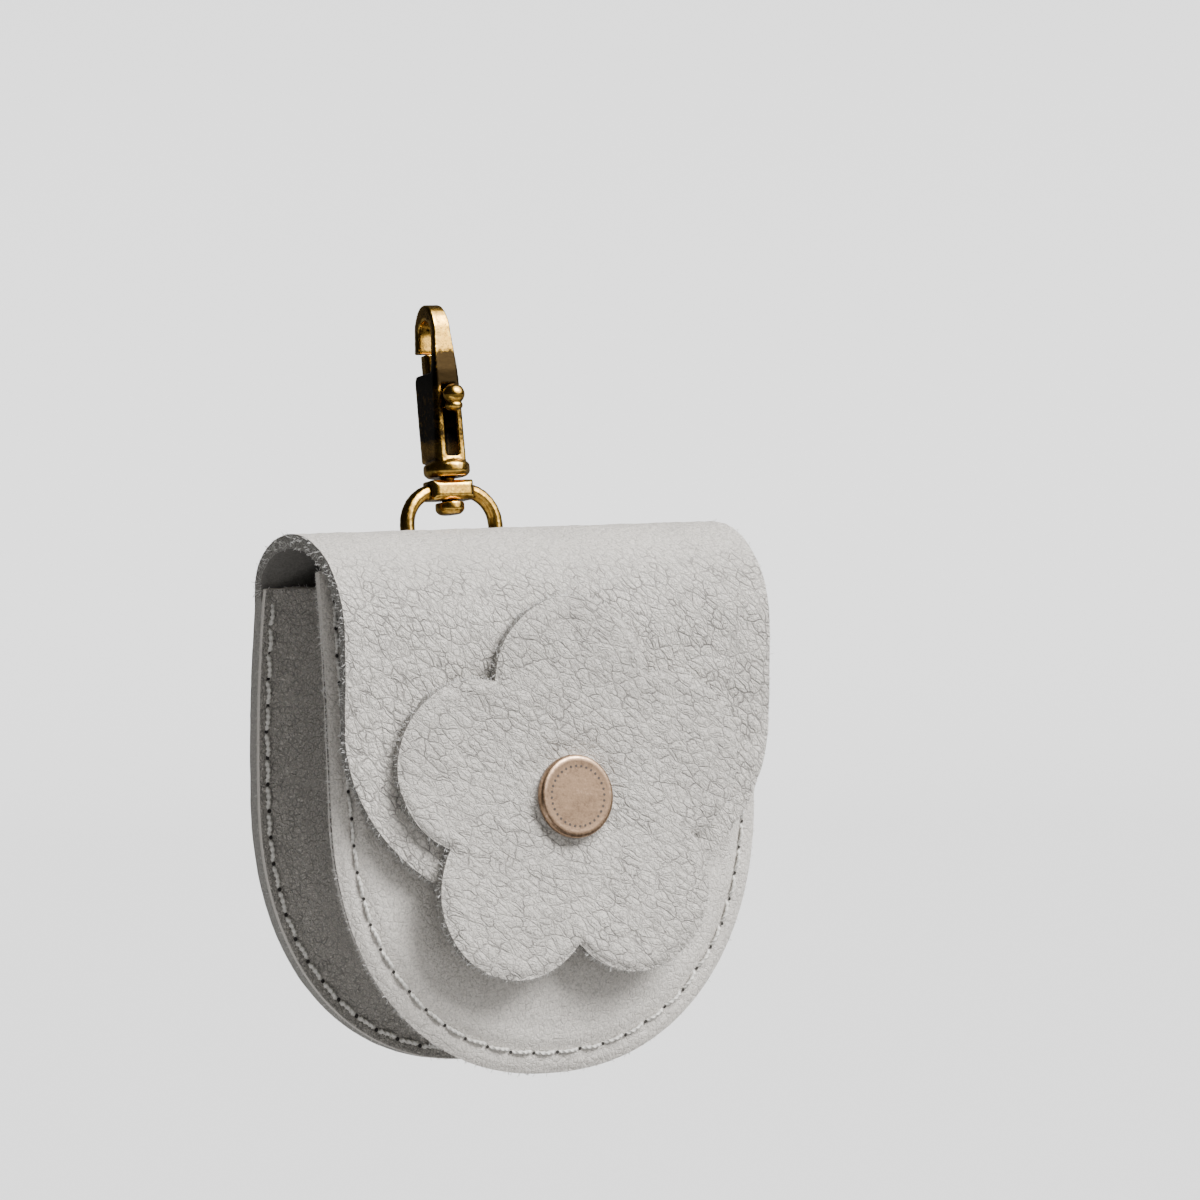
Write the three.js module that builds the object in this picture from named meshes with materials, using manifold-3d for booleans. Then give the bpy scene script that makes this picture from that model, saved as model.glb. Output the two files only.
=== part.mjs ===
// A small leather pouch with a flower on its flap, which hangs from a swivel trigger hook.
// Millimetres, +Z up, front towards -Y. The origin is the inner top of the hook's crook,
// which is where the pouch hangs. Places on the leather body are given by x, by a drop
// below the top of the folded leather, and by a depth forward from the outer back face.
import * as THREE from "three";
import { mergeVertices } from "three/addons/utils/BufferGeometryUtils.js";
import Module from "manifold-3d";

const wasm = await Module();
wasm.setup();

// Leather and clearance
const LEATHER = 2.2; // panels, flap and flower
const GUSSET_LEATHER = 2.0;
const TAB_LEATHER = 2.2;
const GAP = 0.3; // clearance between pieces that touch on the real pouch

// Outline of the body and the flap, both a straight stretch with a rounded end. An end's
// fullness is 2 for a half ellipse, and more for one with fuller corners.
const HALF_WIDTH = 36.5;
const BODY_STRAIGHT = 40.4;
const BODY_CURVE = 41.8;
const BODY_FULLNESS = 2.2;
const FLAP_STRAIGHT = 29;
const FLAP_CURVE = 29.3;
const FLAP_FULLNESS = 2;
const PANEL_TOP = 5.5; // drop of the front panel's top edge
const GUSSET_TOP = 8.4; // drop of the gusset's ends

// Depths of the body
const PANEL_DEPTH_TOP = 21.8; // outer face of the front panel's edge, at its top
const PANEL_DEPTH_LOW = 24.2; // the same, towards the bottom of the pouch
const PANEL_EASE = 16; // drop over which most of the difference is made up
const DOME = 2; // how far the front panel bulges below its flat top edge
const DOME_REACH = 22; // width of the curved margin that rises to the bulge
const DOME_POWER = 2.2;
const BACK_SPREAD = 3.8; // how far the lower back panel stands behind its top

// Folded top and flap
const ARCH_CREST = 13; // depth of the highest line of the fold
const ARCH_BACK = 8.4; // drop where the back panel begins to curve forward
const ARCH_FRONT = 15; // drop where the curve ends and the flap hangs
const FLAP_DEPTH = 29.5; // outer face of the flap where the curve ends
const FLAP_SINK = 0.8; // how far the flap dips back between the curve and the snap
const FLAP_FLARE = 1.4; // how far its lower edge stands forward again

// Gusset channel
const FLANGE = 6; // width of the sewn flanges
const CHANNEL_ROUND = 2.4; // radius of the two corners in the valley

// Flower and snap
const SNAP_DROP = 40.2;
const PETALS = 5;
const PETAL_RADIUS = 12.9;
const PETAL_OFFSET = 17.1; // from the flower's middle to the middle of a petal
const CAP_DIAMETER = 12.5;
const CAP_HEIGHT = 1.4;
const CAP_BEVEL = 0.5;
const CAP_TILT = THREE.MathUtils.degToRad(5);
const POST_DIAMETER = 3;
const POST_HEAD_DIAMETER = 8;
const POST_HEAD_HEIGHT = 1;

// Hook, along its own axis from the inner top of the crook
const HOOK_LEAN = THREE.MathUtils.degToRad(7.5);
const HANG_LENGTH = 37.5; // from the crook's inner top to the middle of the eye's bar
const CROOK_RADIUS = 2; // inside
const CROOK_TOP = 2.5; // thickness over the inner top
const CROOK_SIDE = 1.35; // thickness beside it
const CROOK_DEPTH_SHIFT = 0.8; // the crook's middle lies this far behind the axis
const CROOK_TIP = 4.9; // drop of the crook's free end
const BARREL_TOP = 8.3;
const BARREL_BOTTOM = 22.2;
const BARREL_FRONT = 2.9; // from the axis to the front face
const BARREL_FRONT_LOW = 2.6;
const BARREL_BACK = 4.2;
const BARREL_BACK_LOW = 3.7;
const HOOK_WIDTH_TOP = 2.6;
const HOOK_WIDTH = 4.5; // at the top of the barrel
const HOOK_WIDTH_LOW = 5.1;
const COLLAR_DIAMETER = 7.3;
const COLLAR_HEIGHT = 2.5;
const PIVOT_DIAMETER = 2.2;
const RIVET_DIAMETER = 4.6;
const RIVET_HEIGHT = 1.9;

// Sliding bolt that closes the crook
const BOLT_WIDTH = 2.3;
const BOLT_DEPTH = 2.1;
const BOLT_TRAVEL = 4.2;
const KNOB_TOP = 10.4;
const KNOB_HEIGHT = 4.2;
const KNOB_WIDTH = 2.9;
const KNOB_REACH = 2.8; // how far it stands out of the barrel's front
const KNOB_NECK_WIDTH = 1.6;
const SLOT_BOTTOM = 21.5;

// Swivel eye
const EYE_WIRE = 2.4;
const EYE_WIDTH = 17.9; // outside
const EYE_SHOULDER = 5.4; // height over which the loop's shoulders curve down
const EYE_CORNER = 2.3; // at the loop's bar
const BRIDGE_WIDTH = 7.4;
const BRIDGE_HEIGHT = 3.1;
const BRIDGE_DEPTH = 4.4;
const COLLAR_TO_BRIDGE = 0.5;

// Leather loop that holds the eye on the back panel
const TAB_WIDTH = 10;
const TAB_LENGTH = 16; // below the eye's bar
const BAR_DROP = 5; // of the eye's bar below the top of the fold

// How finely the curves are cut
const RAYS = 22; // round the body's rounded end
const FLAP_RAYS = 18;
const ARCH_STEPS = 7; // in each quarter of the fold
const PETAL_STEPS = 10;
const ROUND_SIDES = 24;
const WIRE_SIDES = 10;

// Values that follow from the ones above
const BODY_LENGTH = BODY_STRAIGHT + BODY_CURVE;
const FLAP_LENGTH = FLAP_STRAIGHT + FLAP_CURVE;
const FLANGE_SHARE = FLANGE / HALF_WIDTH;
const WALL_SHARE = (FLANGE + GUSSET_LEATHER) / HALF_WIDTH;
const SPREAD_TOP = BAR_DROP + TAB_LENGTH + GAP; // drop where the back panel leaves its plane
const BAR_TO_BACK = EYE_WIRE / 2 + GAP + TAB_LEATHER + GAP; // from the eye's bar to the back face
const BOLT_MIDDLE = CROOK_DEPTH_SHIFT + CROOK_RADIUS + CROOK_SIDE / 2 - BOLT_DEPTH / 2;

const COLOUR = { leather: 0xc7c4bf, flower: 0xc3c0bb, brass: 0x8f6f35, copper: 0x9b7b5e };
const leather = (name, color) => new THREE.MeshStandardMaterial({
  name, color, roughness: 0.62, metalness: 0,
});
const metal = (name, color) => new THREE.MeshStandardMaterial({
  name, color, roughness: 0.34, metalness: 1,
});

// Meshes and solids

function geometryFrom(points, triangles) {
  const geometry = new THREE.BufferGeometry();
  geometry.setAttribute("position", new THREE.Float32BufferAttribute(points.flat(), 3));
  geometry.setIndex(triangles.flat());
  return geometry;
}

function signedVolume(points, triangles) {
  let sum = 0;
  const [a, b, c] = [new THREE.Vector3(), new THREE.Vector3(), new THREE.Vector3()];
  for (const [i, j, k] of triangles) {
    a.fromArray(points[i]);
    b.fromArray(points[j]);
    c.fromArray(points[k]);
    sum += a.dot(b.cross(c));
  }
  return sum;
}

// Turns the faces of a closed body outwards.
function closedBody(points, triangles) {
  const outwards = signedVolume(points, triangles) > 0;
  const faces = outwards ? triangles : triangles.map(([i, j, k]) => [i, k, j]);
  return geometryFrom(points, faces);
}

function toSolid(geometry, matrix) {
  const bare = geometry.clone();
  bare.deleteAttribute("normal");
  bare.deleteAttribute("uv");
  if (matrix) bare.applyMatrix4(matrix);
  const merged = mergeVertices(bare, 1e-4);
  return new wasm.Manifold(new wasm.Mesh({
    numProp: 3,
    vertProperties: new Float32Array(merged.attributes.position.array),
    triVerts: new Uint32Array(merged.index.array),
  }));
}

function toGeometry(solid) {
  const mesh = solid.getMesh();
  const geometry = new THREE.BufferGeometry();
  geometry.setAttribute("position", new THREE.BufferAttribute(mesh.vertProperties, 3));
  geometry.setIndex(new THREE.BufferAttribute(mesh.triVerts, 1));
  geometry.computeVertexNormals();
  return geometry;
}

const shift = (x, y, z) => new THREE.Matrix4().makeTranslation(x, y, z);
const turnX = (angle) => new THREE.Matrix4().makeRotationX(angle);
const turnZ = (angle) => new THREE.Matrix4().makeRotationZ(angle);

// A flat net of triangles over a sheet. Points are [x, q]; equal points are shared.
class Net {
  constructor() {
    this.points = [];
    this.triangles = [];
    this.known = new Map();
  }

  at(x, q) {
    const key = `${x.toFixed(4)},${q.toFixed(4)}`;
    if (!this.known.has(key)) {
      this.known.set(key, this.points.length);
      this.points.push([x, q]);
    }
    return this.known.get(key);
  }

  // The squares between two rows of points, cut so that the net stays the same on both sides
  strip(first, second) {
    for (let i = 0; i + 1 < first.length; i += 1) {
      const [a, b, c, d] = [first[i], first[i + 1], second[i + 1], second[i]];
      const rising = this.points[a][0] + this.points[b][0] < 0;
      const pair = rising ? [[a, b, c], [a, c, d]] : [[a, b, d], [b, c, d]];
      this.triangles.push(...pair.filter(([i0, i1, i2]) => i0 !== i1 && i1 !== i2 && i2 !== i0));
    }
  }
}

// Rows of a straight stretch: each row runs across the sheet at its own q.
function netRows(net, rows, shares) {
  const across = [...shares].reverse().map((s) => -s).concat(shares.slice(1));
  const lines = rows.map((q) => across.map((s) => net.at(s * HALF_WIDTH, q)));
  for (let i = 0; i + 1 < lines.length; i += 1) net.strip(lines[i], lines[i + 1]);
}

// Where a rounded end of a fullness has its edge at an angle, as shares of its two reaches
function endPoint(angle, fullness) {
  const part = (value) => Math.sign(value) * Math.abs(value) ** (2 / fullness);
  return [part(Math.cos(angle)), part(Math.sin(angle))];
}

// Rays of the rounded end of a sheet, from q = start towards start + height.
function netEnd(net, start, height, rays, shares, fullness) {
  const lines = [];
  for (let i = 0; i <= rays; i += 1) {
    const [along, down] = endPoint(Math.PI * (1 - i / rays), fullness);
    lines.push(shares.map((s) => net.at(s * HALF_WIDTH * along, start + s * height * down)));
  }
  for (let i = 0; i + 1 < lines.length; i += 1) {
    if (height > 0) net.strip(lines[i + 1], lines[i]);
    else net.strip(lines[i], lines[i + 1]);
  }
}

// A sheet with thickness: the net laid on two faces and walled along its open edges.
function sheetBody(net, outer, inner) {
  const count = net.points.length;
  const points = [
    ...net.points.map(([x, q]) => outer(x, q)),
    ...net.points.map(([x, q]) => inner(x, q)),
  ];
  const edges = new Set();
  for (const [i, j, k] of net.triangles) {
    edges.add(`${i}-${j}`);
    edges.add(`${j}-${k}`);
    edges.add(`${k}-${i}`);
  }
  const triangles = [];
  for (const [i, j, k] of net.triangles) {
    triangles.push([i, j, k], [i + count, k + count, j + count]);
    for (const [a, b] of [[i, j], [j, k], [k, i]]) {
      if (!edges.has(`${b}-${a}`)) triangles.push([a, a + count, b + count], [a, b + count, b]);
    }
  }
  return closedBody(points, triangles);
}

// A body through rings of equally many points, closed on itself or with flat ends.
function loftBody(rings, cyclic) {
  const size = rings[0].length;
  const points = rings.flat();
  const triangles = [];
  const spans = cyclic ? rings.length : rings.length - 1;
  for (let i = 0; i < spans; i += 1) {
    const here = i * size;
    const next = ((i + 1) % rings.length) * size;
    for (let j = 0; j < size; j += 1) {
      const k = (j + 1) % size;
      triangles.push([here + j, here + k, next + k], [here + j, next + k, next + j]);
    }
  }
  return { points, triangles, size };
}

// Where a place on the leather body lies, in the body's own frame at the eye's bar
const place = (x, drop, depth) => [x, -BAR_TO_BACK - depth, BAR_DROP - drop];

// Front panel

function smooth(value, low, high) {
  return THREE.MathUtils.smoothstep(value, low, high);
}

// How far out a place lies, as a share of the way from the body's middle to its edge
function bodyShare(x, drop) {
  const across = Math.abs(x) / HALF_WIDTH;
  const below = Math.max(0, drop - BODY_STRAIGHT) / BODY_CURVE;
  return (across ** BODY_FULLNESS + below ** BODY_FULLNESS) ** (1 / BODY_FULLNESS);
}

// Depth of the front panel's outer face
function panelDepth(x, drop) {
  const share = bodyShare(x, drop);
  const inset = Math.min(DOME_REACH, (1 - share) * HALF_WIDTH);
  const rise = 1 - (1 - inset / DOME_REACH) ** DOME_POWER;
  const dome = DOME * smooth(drop, PANEL_TOP, FLAP_STRAIGHT);
  const short = (PANEL_DEPTH_LOW - PANEL_DEPTH_TOP) * Math.exp((PANEL_TOP - drop) / PANEL_EASE);
  return PANEL_DEPTH_LOW - short + dome * rise;
}

// Inset shares that the panel and the gusset's flange have in common, from the middle outwards
const MARGIN_SHARES = [1 - WALL_SHARE, 1 - FLANGE_SHARE, 1 - FLANGE_SHARE / 2, 1];
const PANEL_SHARES = [0, 0.22, 0.44, 0.62, ...MARGIN_SHARES];

function rowsBetween(from, to, count) {
  return Array.from({ length: count + 1 }, (_, i) => from + (to - from) * (i / count));
}

const SIDE_ROWS = rowsBetween(GUSSET_TOP, BODY_STRAIGHT, 5);

function frontPanel() {
  const net = new Net();
  netRows(net, [PANEL_TOP, ...SIDE_ROWS], PANEL_SHARES);
  netEnd(net, BODY_STRAIGHT, BODY_CURVE, RAYS, PANEL_SHARES, BODY_FULLNESS);
  return sheetBody(
    net,
    (x, drop) => place(x, drop, panelDepth(x, drop)),
    (x, drop) => place(x, drop, panelDepth(x, drop) - LEATHER),
  );
}

// Back panel, fold and flap, one piece. q is the drop, negative on the back.

function flapDepth(drop) {
  const dip = FLAP_SINK * Math.sin(Math.PI * smooth(drop, ARCH_FRONT, SNAP_DROP) / 2);
  const flare = FLAP_FLARE * Math.max(0, (drop - FLAP_STRAIGHT) / FLAP_CURVE) ** 2;
  return FLAP_DEPTH - dip + flare;
}

// The full pouch pushes the back panel back, below the leather loop that hangs it.
function backDepth(drop) {
  return -BACK_SPREAD * smooth(drop, SPREAD_TOP, BODY_STRAIGHT);
}

function sheetLine(q) {
  if (q <= -ARCH_BACK) return [backDepth(-q), -q];
  if (q >= ARCH_FRONT) return [flapDepth(q), q];
  if (q < 0) {
    const angle = (Math.PI / 2) * (1 + q / ARCH_BACK);
    return [ARCH_CREST * (1 - Math.cos(angle)), ARCH_BACK * (1 - Math.sin(angle))];
  }
  const angle = (Math.PI / 2) * (q / ARCH_FRONT);
  const reach = FLAP_DEPTH - ARCH_CREST;
  return [ARCH_CREST + reach * Math.sin(angle), ARCH_FRONT * (1 - Math.cos(angle))];
}

// The outer line of the folded sheet, moved inwards by a distance
function sheetOffset(q, distance) {
  const step = 0.01;
  const [depth, drop] = sheetLine(q);
  if (q <= -ARCH_BACK) return [depth + distance, drop];
  const before = sheetLine(q - step);
  const after = sheetLine(q + step);
  const run = [after[0] - before[0], after[1] - before[1]];
  const length = Math.hypot(...run);
  return [depth - (distance * run[1]) / length, drop + (distance * run[0]) / length];
}

function backAndFlap() {
  const net = new Net();
  const shares = [0, 0.3, 0.6, 1 - FLANGE_SHARE, 1];
  netEnd(net, -BODY_STRAIGHT, -BODY_CURVE, RAYS, shares, BODY_FULLNESS);
  netRows(net, [
    ...SIDE_ROWS.map((drop) => -drop).reverse(),
    ...rowsBetween(-ARCH_BACK, 0, ARCH_STEPS).slice(1),
    ...rowsBetween(0, ARCH_FRONT, ARCH_STEPS).slice(1),
    ...rowsBetween(ARCH_FRONT, FLAP_STRAIGHT, 3).slice(1),
  ], shares);
  netEnd(net, FLAP_STRAIGHT, FLAP_CURVE, FLAP_RAYS, shares, FLAP_FULLNESS);
  const face = (distance) => (x, q) => {
    const [depth, drop] = sheetOffset(q, distance);
    return place(x, drop, depth);
  };
  return sheetBody(net, face(0), face(LEATHER));
}

// Gusset: a channel between the panels, its flanges turned outwards, swept round the outline.

// Corner points between two directions of the channel's section, as shares of a quarter turn
const QUARTER = [0, 1 / 3, 2 / 3, 1];

function gussetSection(pointAt, panelAt, backFace) {
  const back = backFace + LEATHER + GAP;
  const front = (share) => panelAt(share) - LEATHER - GAP;
  const valley = 1 - FLANGE_SHARE;
  const inside = 1 - WALL_SHARE;
  const roundShare = CHANNEL_ROUND / HALF_WIDTH;
  const insideRound = CHANNEL_ROUND + GUSSET_LEATHER;
  const corner = (turn, radius, radiusShare, share, depth, way) => {
    const angle = (Math.PI / 2) * turn;
    return pointAt(
      share + radiusShare * (1 - Math.sin(angle)),
      depth + way * radius * (1 - Math.cos(angle)),
    );
  };
  const ring = [];
  const middle = 1 - FLANGE_SHARE / 2;
  ring.push(pointAt(1, back), pointAt(middle, back));
  for (const turn of QUARTER) {
    ring.push(corner(turn, insideRound, insideRound / HALF_WIDTH, inside, back, 1));
  }
  for (const turn of [...QUARTER].reverse()) {
    const share = inside + (insideRound / HALF_WIDTH) * (1 - Math.sin((Math.PI / 2) * turn));
    const depth = front(share) - insideRound * (1 - Math.cos((Math.PI / 2) * turn));
    ring.push(pointAt(share, depth));
  }
  ring.push(pointAt(middle, front(middle)), pointAt(1, front(1)));
  ring.push(pointAt(1, front(1) - GUSSET_LEATHER));
  ring.push(pointAt(middle, front(middle) - GUSSET_LEATHER));
  for (const turn of QUARTER) {
    const share = valley + roundShare * (1 - Math.sin((Math.PI / 2) * turn));
    const depth = front(share) - GUSSET_LEATHER - CHANNEL_ROUND * (1 - Math.cos((Math.PI / 2) * turn));
    ring.push(pointAt(share, depth));
  }
  for (const turn of [...QUARTER].reverse()) {
    ring.push(corner(turn, CHANNEL_ROUND, roundShare, valley, back + GUSSET_LEATHER, 1));
  }
  ring.push(pointAt(middle, back + GUSSET_LEATHER), pointAt(1, back + GUSSET_LEATHER));
  return ring;
}

function gusset() {
  const rings = [];
  const sideRing = (side, drop) => rings.push(gussetSection(
    (share, depth) => place(side * share * HALF_WIDTH, drop, depth),
    (share) => panelDepth(share * HALF_WIDTH, drop),
    backDepth(drop),
  ));
  for (const drop of SIDE_ROWS) sideRing(-1, drop);
  for (let i = 1; i < RAYS; i += 1) {
    const [along, down] = endPoint(Math.PI * (1 - i / RAYS), BODY_FULLNESS);
    const spot = (share) => [
      share * HALF_WIDTH * along,
      BODY_STRAIGHT + share * BODY_CURVE * down,
    ];
    rings.push(gussetSection(
      (share, depth) => place(...spot(share), depth),
      (share) => panelDepth(...spot(share)),
      -BACK_SPREAD,
    ));
  }
  for (const drop of [...SIDE_ROWS].reverse()) sideRing(1, drop);
  const body = loftBody(rings, false);
  const capEnd = (offset) => {
    const flat = rings[offset].map(([, y, ], i) => new THREE.Vector2(rings[offset][i][0], y));
    return THREE.ShapeUtils.triangulateShape(flat, [])
      .map((face) => face.map((i) => i + offset * body.size));
  };
  const first = capEnd(0);
  const last = capEnd(rings.length - 1);
  return closedBody(body.points, [
    ...body.triangles,
    ...orientCap(first, body.triangles),
    ...orientCap(last, body.triangles),
  ]);
}

// Turns the faces of an end cap so that they run against the edges of the wall beside it.
function orientCap(faces, wall) {
  const used = new Set();
  for (const [i, j, k] of wall) {
    used.add(`${i}-${j}`);
    used.add(`${j}-${k}`);
    used.add(`${k}-${i}`);
  }
  const clashes = faces.some(([i, j, k]) => (
    used.has(`${i}-${j}`) || used.has(`${j}-${k}`) || used.has(`${k}-${i}`)
  ));
  return clashes ? faces.map(([i, j, k]) => [i, k, j]) : faces;
}

// Flower

// Distance from the flower's middle to its edge, in the direction given from upright
function petalEdge(angle) {
  const half = Math.PI / PETALS;
  const turn = ((angle % (2 * half)) + 2 * half) % (2 * half);
  const off = Math.min(turn, 2 * half - turn);
  const across = PETAL_OFFSET * Math.sin(off);
  return PETAL_OFFSET * Math.cos(off) + Math.sqrt(PETAL_RADIUS ** 2 - across ** 2);
}

// The flower follows the flap, but keeps straight past the flap's ends.
function flowerDepth(drop) {
  const low = FLAP_LENGTH;
  const high = ARCH_FRONT;
  if (drop > low) return flapDepth(low) + (flapDepth(low) - flapDepth(low - 1)) * (drop - low) * 0.3;
  return drop < high ? FLAP_DEPTH : flapDepth(drop);
}

function flower() {
  const net = new Net();
  const steps = PETALS * PETAL_STEPS;
  const shares = [0, 0.3, 0.58, 0.82, 1];
  const lines = [];
  for (let i = 0; i <= steps; i += 1) {
    const angle = (2 * Math.PI * (i % steps)) / steps;
    const edge = petalEdge(angle);
    lines.push(shares.map((s) => net.at(
      -s * edge * Math.sin(angle),
      SNAP_DROP - s * edge * Math.cos(angle),
    )));
  }
  for (let i = 0; i < steps; i += 1) net.strip(lines[i], lines[i + 1]);
  return sheetBody(
    net,
    (x, drop) => place(x, drop, flowerDepth(drop) + GAP + LEATHER),
    (x, drop) => place(x, drop, flowerDepth(drop) + GAP),
  );
}

// Snap: a cap on the flower, with a post through the flower, the flap and the front panel

const CAP_SEAT = flowerDepth(SNAP_DROP) + LEATHER + 2 * GAP + (CAP_DIAMETER / 2) * Math.sin(CAP_TILT);
const POST_LENGTH = CAP_SEAT - panelDepth(0, SNAP_DROP) + LEATHER + 2 * GAP;

function latheBody(profile, sides = ROUND_SIDES) {
  return new THREE.LatheGeometry(profile.map(([r, z]) => new THREE.Vector2(r, z)), sides);
}

// The snap's axis runs forward along the lathe's axis, tilted up with the leather under it.
function snapMatrix() {
  const [x, y, z] = place(0, SNAP_DROP, CAP_SEAT);
  return shift(x, y, z).multiply(turnX(Math.PI - CAP_TILT));
}

function snapCap() {
  const r = CAP_DIAMETER / 2;
  const post = POST_DIAMETER / 2;
  const head = POST_HEAD_DIAMETER / 2;
  return latheBody([
    [0, -POST_LENGTH - POST_HEAD_HEIGHT],
    [head, -POST_LENGTH - POST_HEAD_HEIGHT],
    [head, -POST_LENGTH],
    [post, -POST_LENGTH],
    [post, 0],
    [r, 0],
    [r, CAP_HEIGHT - CAP_BEVEL],
    [r - CAP_BEVEL, CAP_HEIGHT],
    [0, CAP_HEIGHT],
  ]);
}

// The holes in the leather round the post
function holePunch() {
  const reach = CAP_HEIGHT + POST_LENGTH + POST_HEAD_HEIGHT;
  const punch = new THREE.CylinderGeometry(
    POST_DIAMETER / 2 + GAP, POST_DIAMETER / 2 + GAP, 2 * reach, ROUND_SIDES,
  );
  return toSolid(punch, snapMatrix());
}

const punched = (geometry) => toGeometry(toSolid(geometry).subtract(holePunch()));

// Hook, in its own frame: the origin at the crook's inner top and z along its axis

function polygonShape(points) {
  return new THREE.Shape(points.map(([u, v]) => new THREE.Vector2(u, v)));
}

function arcPoints(u, v, ru, rv, from, to, steps) {
  return Array.from({ length: steps + 1 }, (_, i) => {
    const angle = THREE.MathUtils.degToRad(from + (to - from) * (i / steps));
    return [u + ru * Math.cos(angle), v + rv * Math.sin(angle)];
  });
}

// A flat shape drawn in (y, z) and pushed out along x, both ways from the middle
function slabAcross(points, width) {
  const slab = new THREE.ExtrudeGeometry(polygonShape(points), { depth: width, bevelEnabled: false });
  const basis = new THREE.Matrix4().makeBasis(
    new THREE.Vector3(0, 1, 0), new THREE.Vector3(0, 0, 1), new THREE.Vector3(1, 0, 0),
  );
  return toSolid(slab, shift(-width / 2, 0, 0).multiply(basis));
}

// A flat shape drawn in (x, z) and pushed out along y, both ways from the middle
function slabDeep(points, depth) {
  const slab = new THREE.ExtrudeGeometry(polygonShape(points), { depth, bevelEnabled: false });
  return toSolid(slab, shift(0, depth / 2, 0).multiply(turnX(Math.PI / 2)));
}

// An upright bar whose section is a rounded rectangle, between two heights
function uprightBar(width, depth, middle, low, high, rounding) {
  const corners = [[1, 1, 0], [-1, 1, 90], [-1, -1, 180], [1, -1, 270]].flatMap(([sx, sy, from]) => (
    arcPoints(
      sx * (width / 2 - rounding), middle + sy * (depth / 2 - rounding),
      rounding, rounding, from, from + 90, 3,
    )
  ));
  const bar = new THREE.ExtrudeGeometry(polygonShape(corners), {
    depth: high - low, bevelEnabled: false,
  });
  return toSolid(bar, shift(0, 0, low));
}

function hookSide() {
  const middle = CROOK_DEPTH_SHIFT;
  const outer = CROOK_RADIUS + CROOK_SIDE;
  return [
    [-BARREL_FRONT_LOW, -BARREL_BOTTOM],
    [BARREL_BACK_LOW, -BARREL_BOTTOM],
    [BARREL_BACK, -BARREL_TOP - CROOK_SIDE / 2],
    [BARREL_BACK - CROOK_SIDE / 2, -BARREL_TOP],
    [middle - CROOK_RADIUS, -BARREL_TOP],
    ...arcPoints(middle, -CROOK_RADIUS, CROOK_RADIUS, CROOK_RADIUS, 180, 0, 12),
    [middle + CROOK_RADIUS, -CROOK_TIP],
    [middle + outer, -CROOK_TIP],
    ...arcPoints(middle, -CROOK_RADIUS, outer, CROOK_RADIUS + CROOK_TOP, 0, 180, 16),
    [-BARREL_FRONT, -BARREL_TOP],
  ];
}

function hookFront() {
  const halves = [
    [HOOK_WIDTH_LOW / 2, -BARREL_BOTTOM],
    [HOOK_WIDTH / 2, -BARREL_TOP - CROOK_SIDE],
    [HOOK_WIDTH / 2 - 0.35, -BARREL_TOP + CROOK_SIDE],
    [HOOK_WIDTH_TOP / 2 + 0.2, -CROOK_RADIUS],
    [HOOK_WIDTH_TOP / 2, CROOK_TOP + 1],
  ];
  return [...halves, ...halves.map(([x, z]) => [-x, z]).reverse()];
}

// The rounded outline that the barrel has when seen from above, as deep as the whole crook
function hookPlan() {
  const front = BARREL_FRONT + 0.3;
  const back = BARREL_BACK + 0.3;
  return uprightBar(
    HOOK_WIDTH_LOW, front + back, (back - front) / 2,
    -BARREL_BOTTOM, CROOK_TOP + 1, HOOK_WIDTH_LOW / 3,
  );
}

const COLLAR_LOW = -BARREL_BOTTOM - COLLAR_HEIGHT;
const BRIDGE_TOP = COLLAR_LOW - COLLAR_TO_BRIDGE;
const BRIDGE_LOW = BRIDGE_TOP - BRIDGE_HEIGHT;
const RIVET_TOP = BRIDGE_LOW - GAP;

// Collar, pivot and rivet head turn on one axis
function hookFoot() {
  const collar = COLLAR_DIAMETER / 2;
  const round = COLLAR_HEIGHT / 4;
  const pivot = PIVOT_DIAMETER / 2;
  const rivet = RIVET_DIAMETER / 2;
  const rim = RIVET_HEIGHT / 3;
  const foot = latheBody([
    [0, RIVET_TOP - RIVET_HEIGHT],
    [rivet - rim, RIVET_TOP - RIVET_HEIGHT],
    [rivet, RIVET_TOP - RIVET_HEIGHT + rim],
    [rivet, RIVET_TOP],
    [pivot, RIVET_TOP],
    [pivot, COLLAR_LOW],
    [collar - round, COLLAR_LOW],
    [collar, COLLAR_LOW + round],
    [collar, -BARREL_BOTTOM - round],
    [collar - round, -BARREL_BOTTOM],
    [0, -BARREL_BOTTOM],
  ]);
  return toSolid(foot, turnX(Math.PI / 2));
}

const BOLT_TOP = -CROOK_TIP - GAP;
const BOLT_LOW = -SLOT_BOTTOM + BOLT_TRAVEL + 2 * GAP;

function hookBody() {
  const barrelHigh = -BARREL_TOP + 1;
  const bore = uprightBar(
    BOLT_WIDTH + 2 * GAP, BOLT_DEPTH + 2 * GAP, BOLT_MIDDLE, -SLOT_BOTTOM, barrelHigh, 0.6,
  );
  const slotWidth = KNOB_NECK_WIDTH + 2 * GAP;
  const slotDepth = BARREL_FRONT + BOLT_MIDDLE + 1;
  const slot = uprightBar(
    slotWidth, slotDepth, BOLT_MIDDLE - slotDepth / 2, -SLOT_BOTTOM, -KNOB_TOP, slotWidth / 4,
  );
  const solid = slabAcross(hookSide(), HOOK_WIDTH_LOW)
    .intersect(slabDeep(hookFront(), 4 * BARREL_BACK))
    .intersect(hookPlan())
    .add(hookFoot())
    .subtract(bore)
    .subtract(slot);
  return toGeometry(solid);
}

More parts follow.
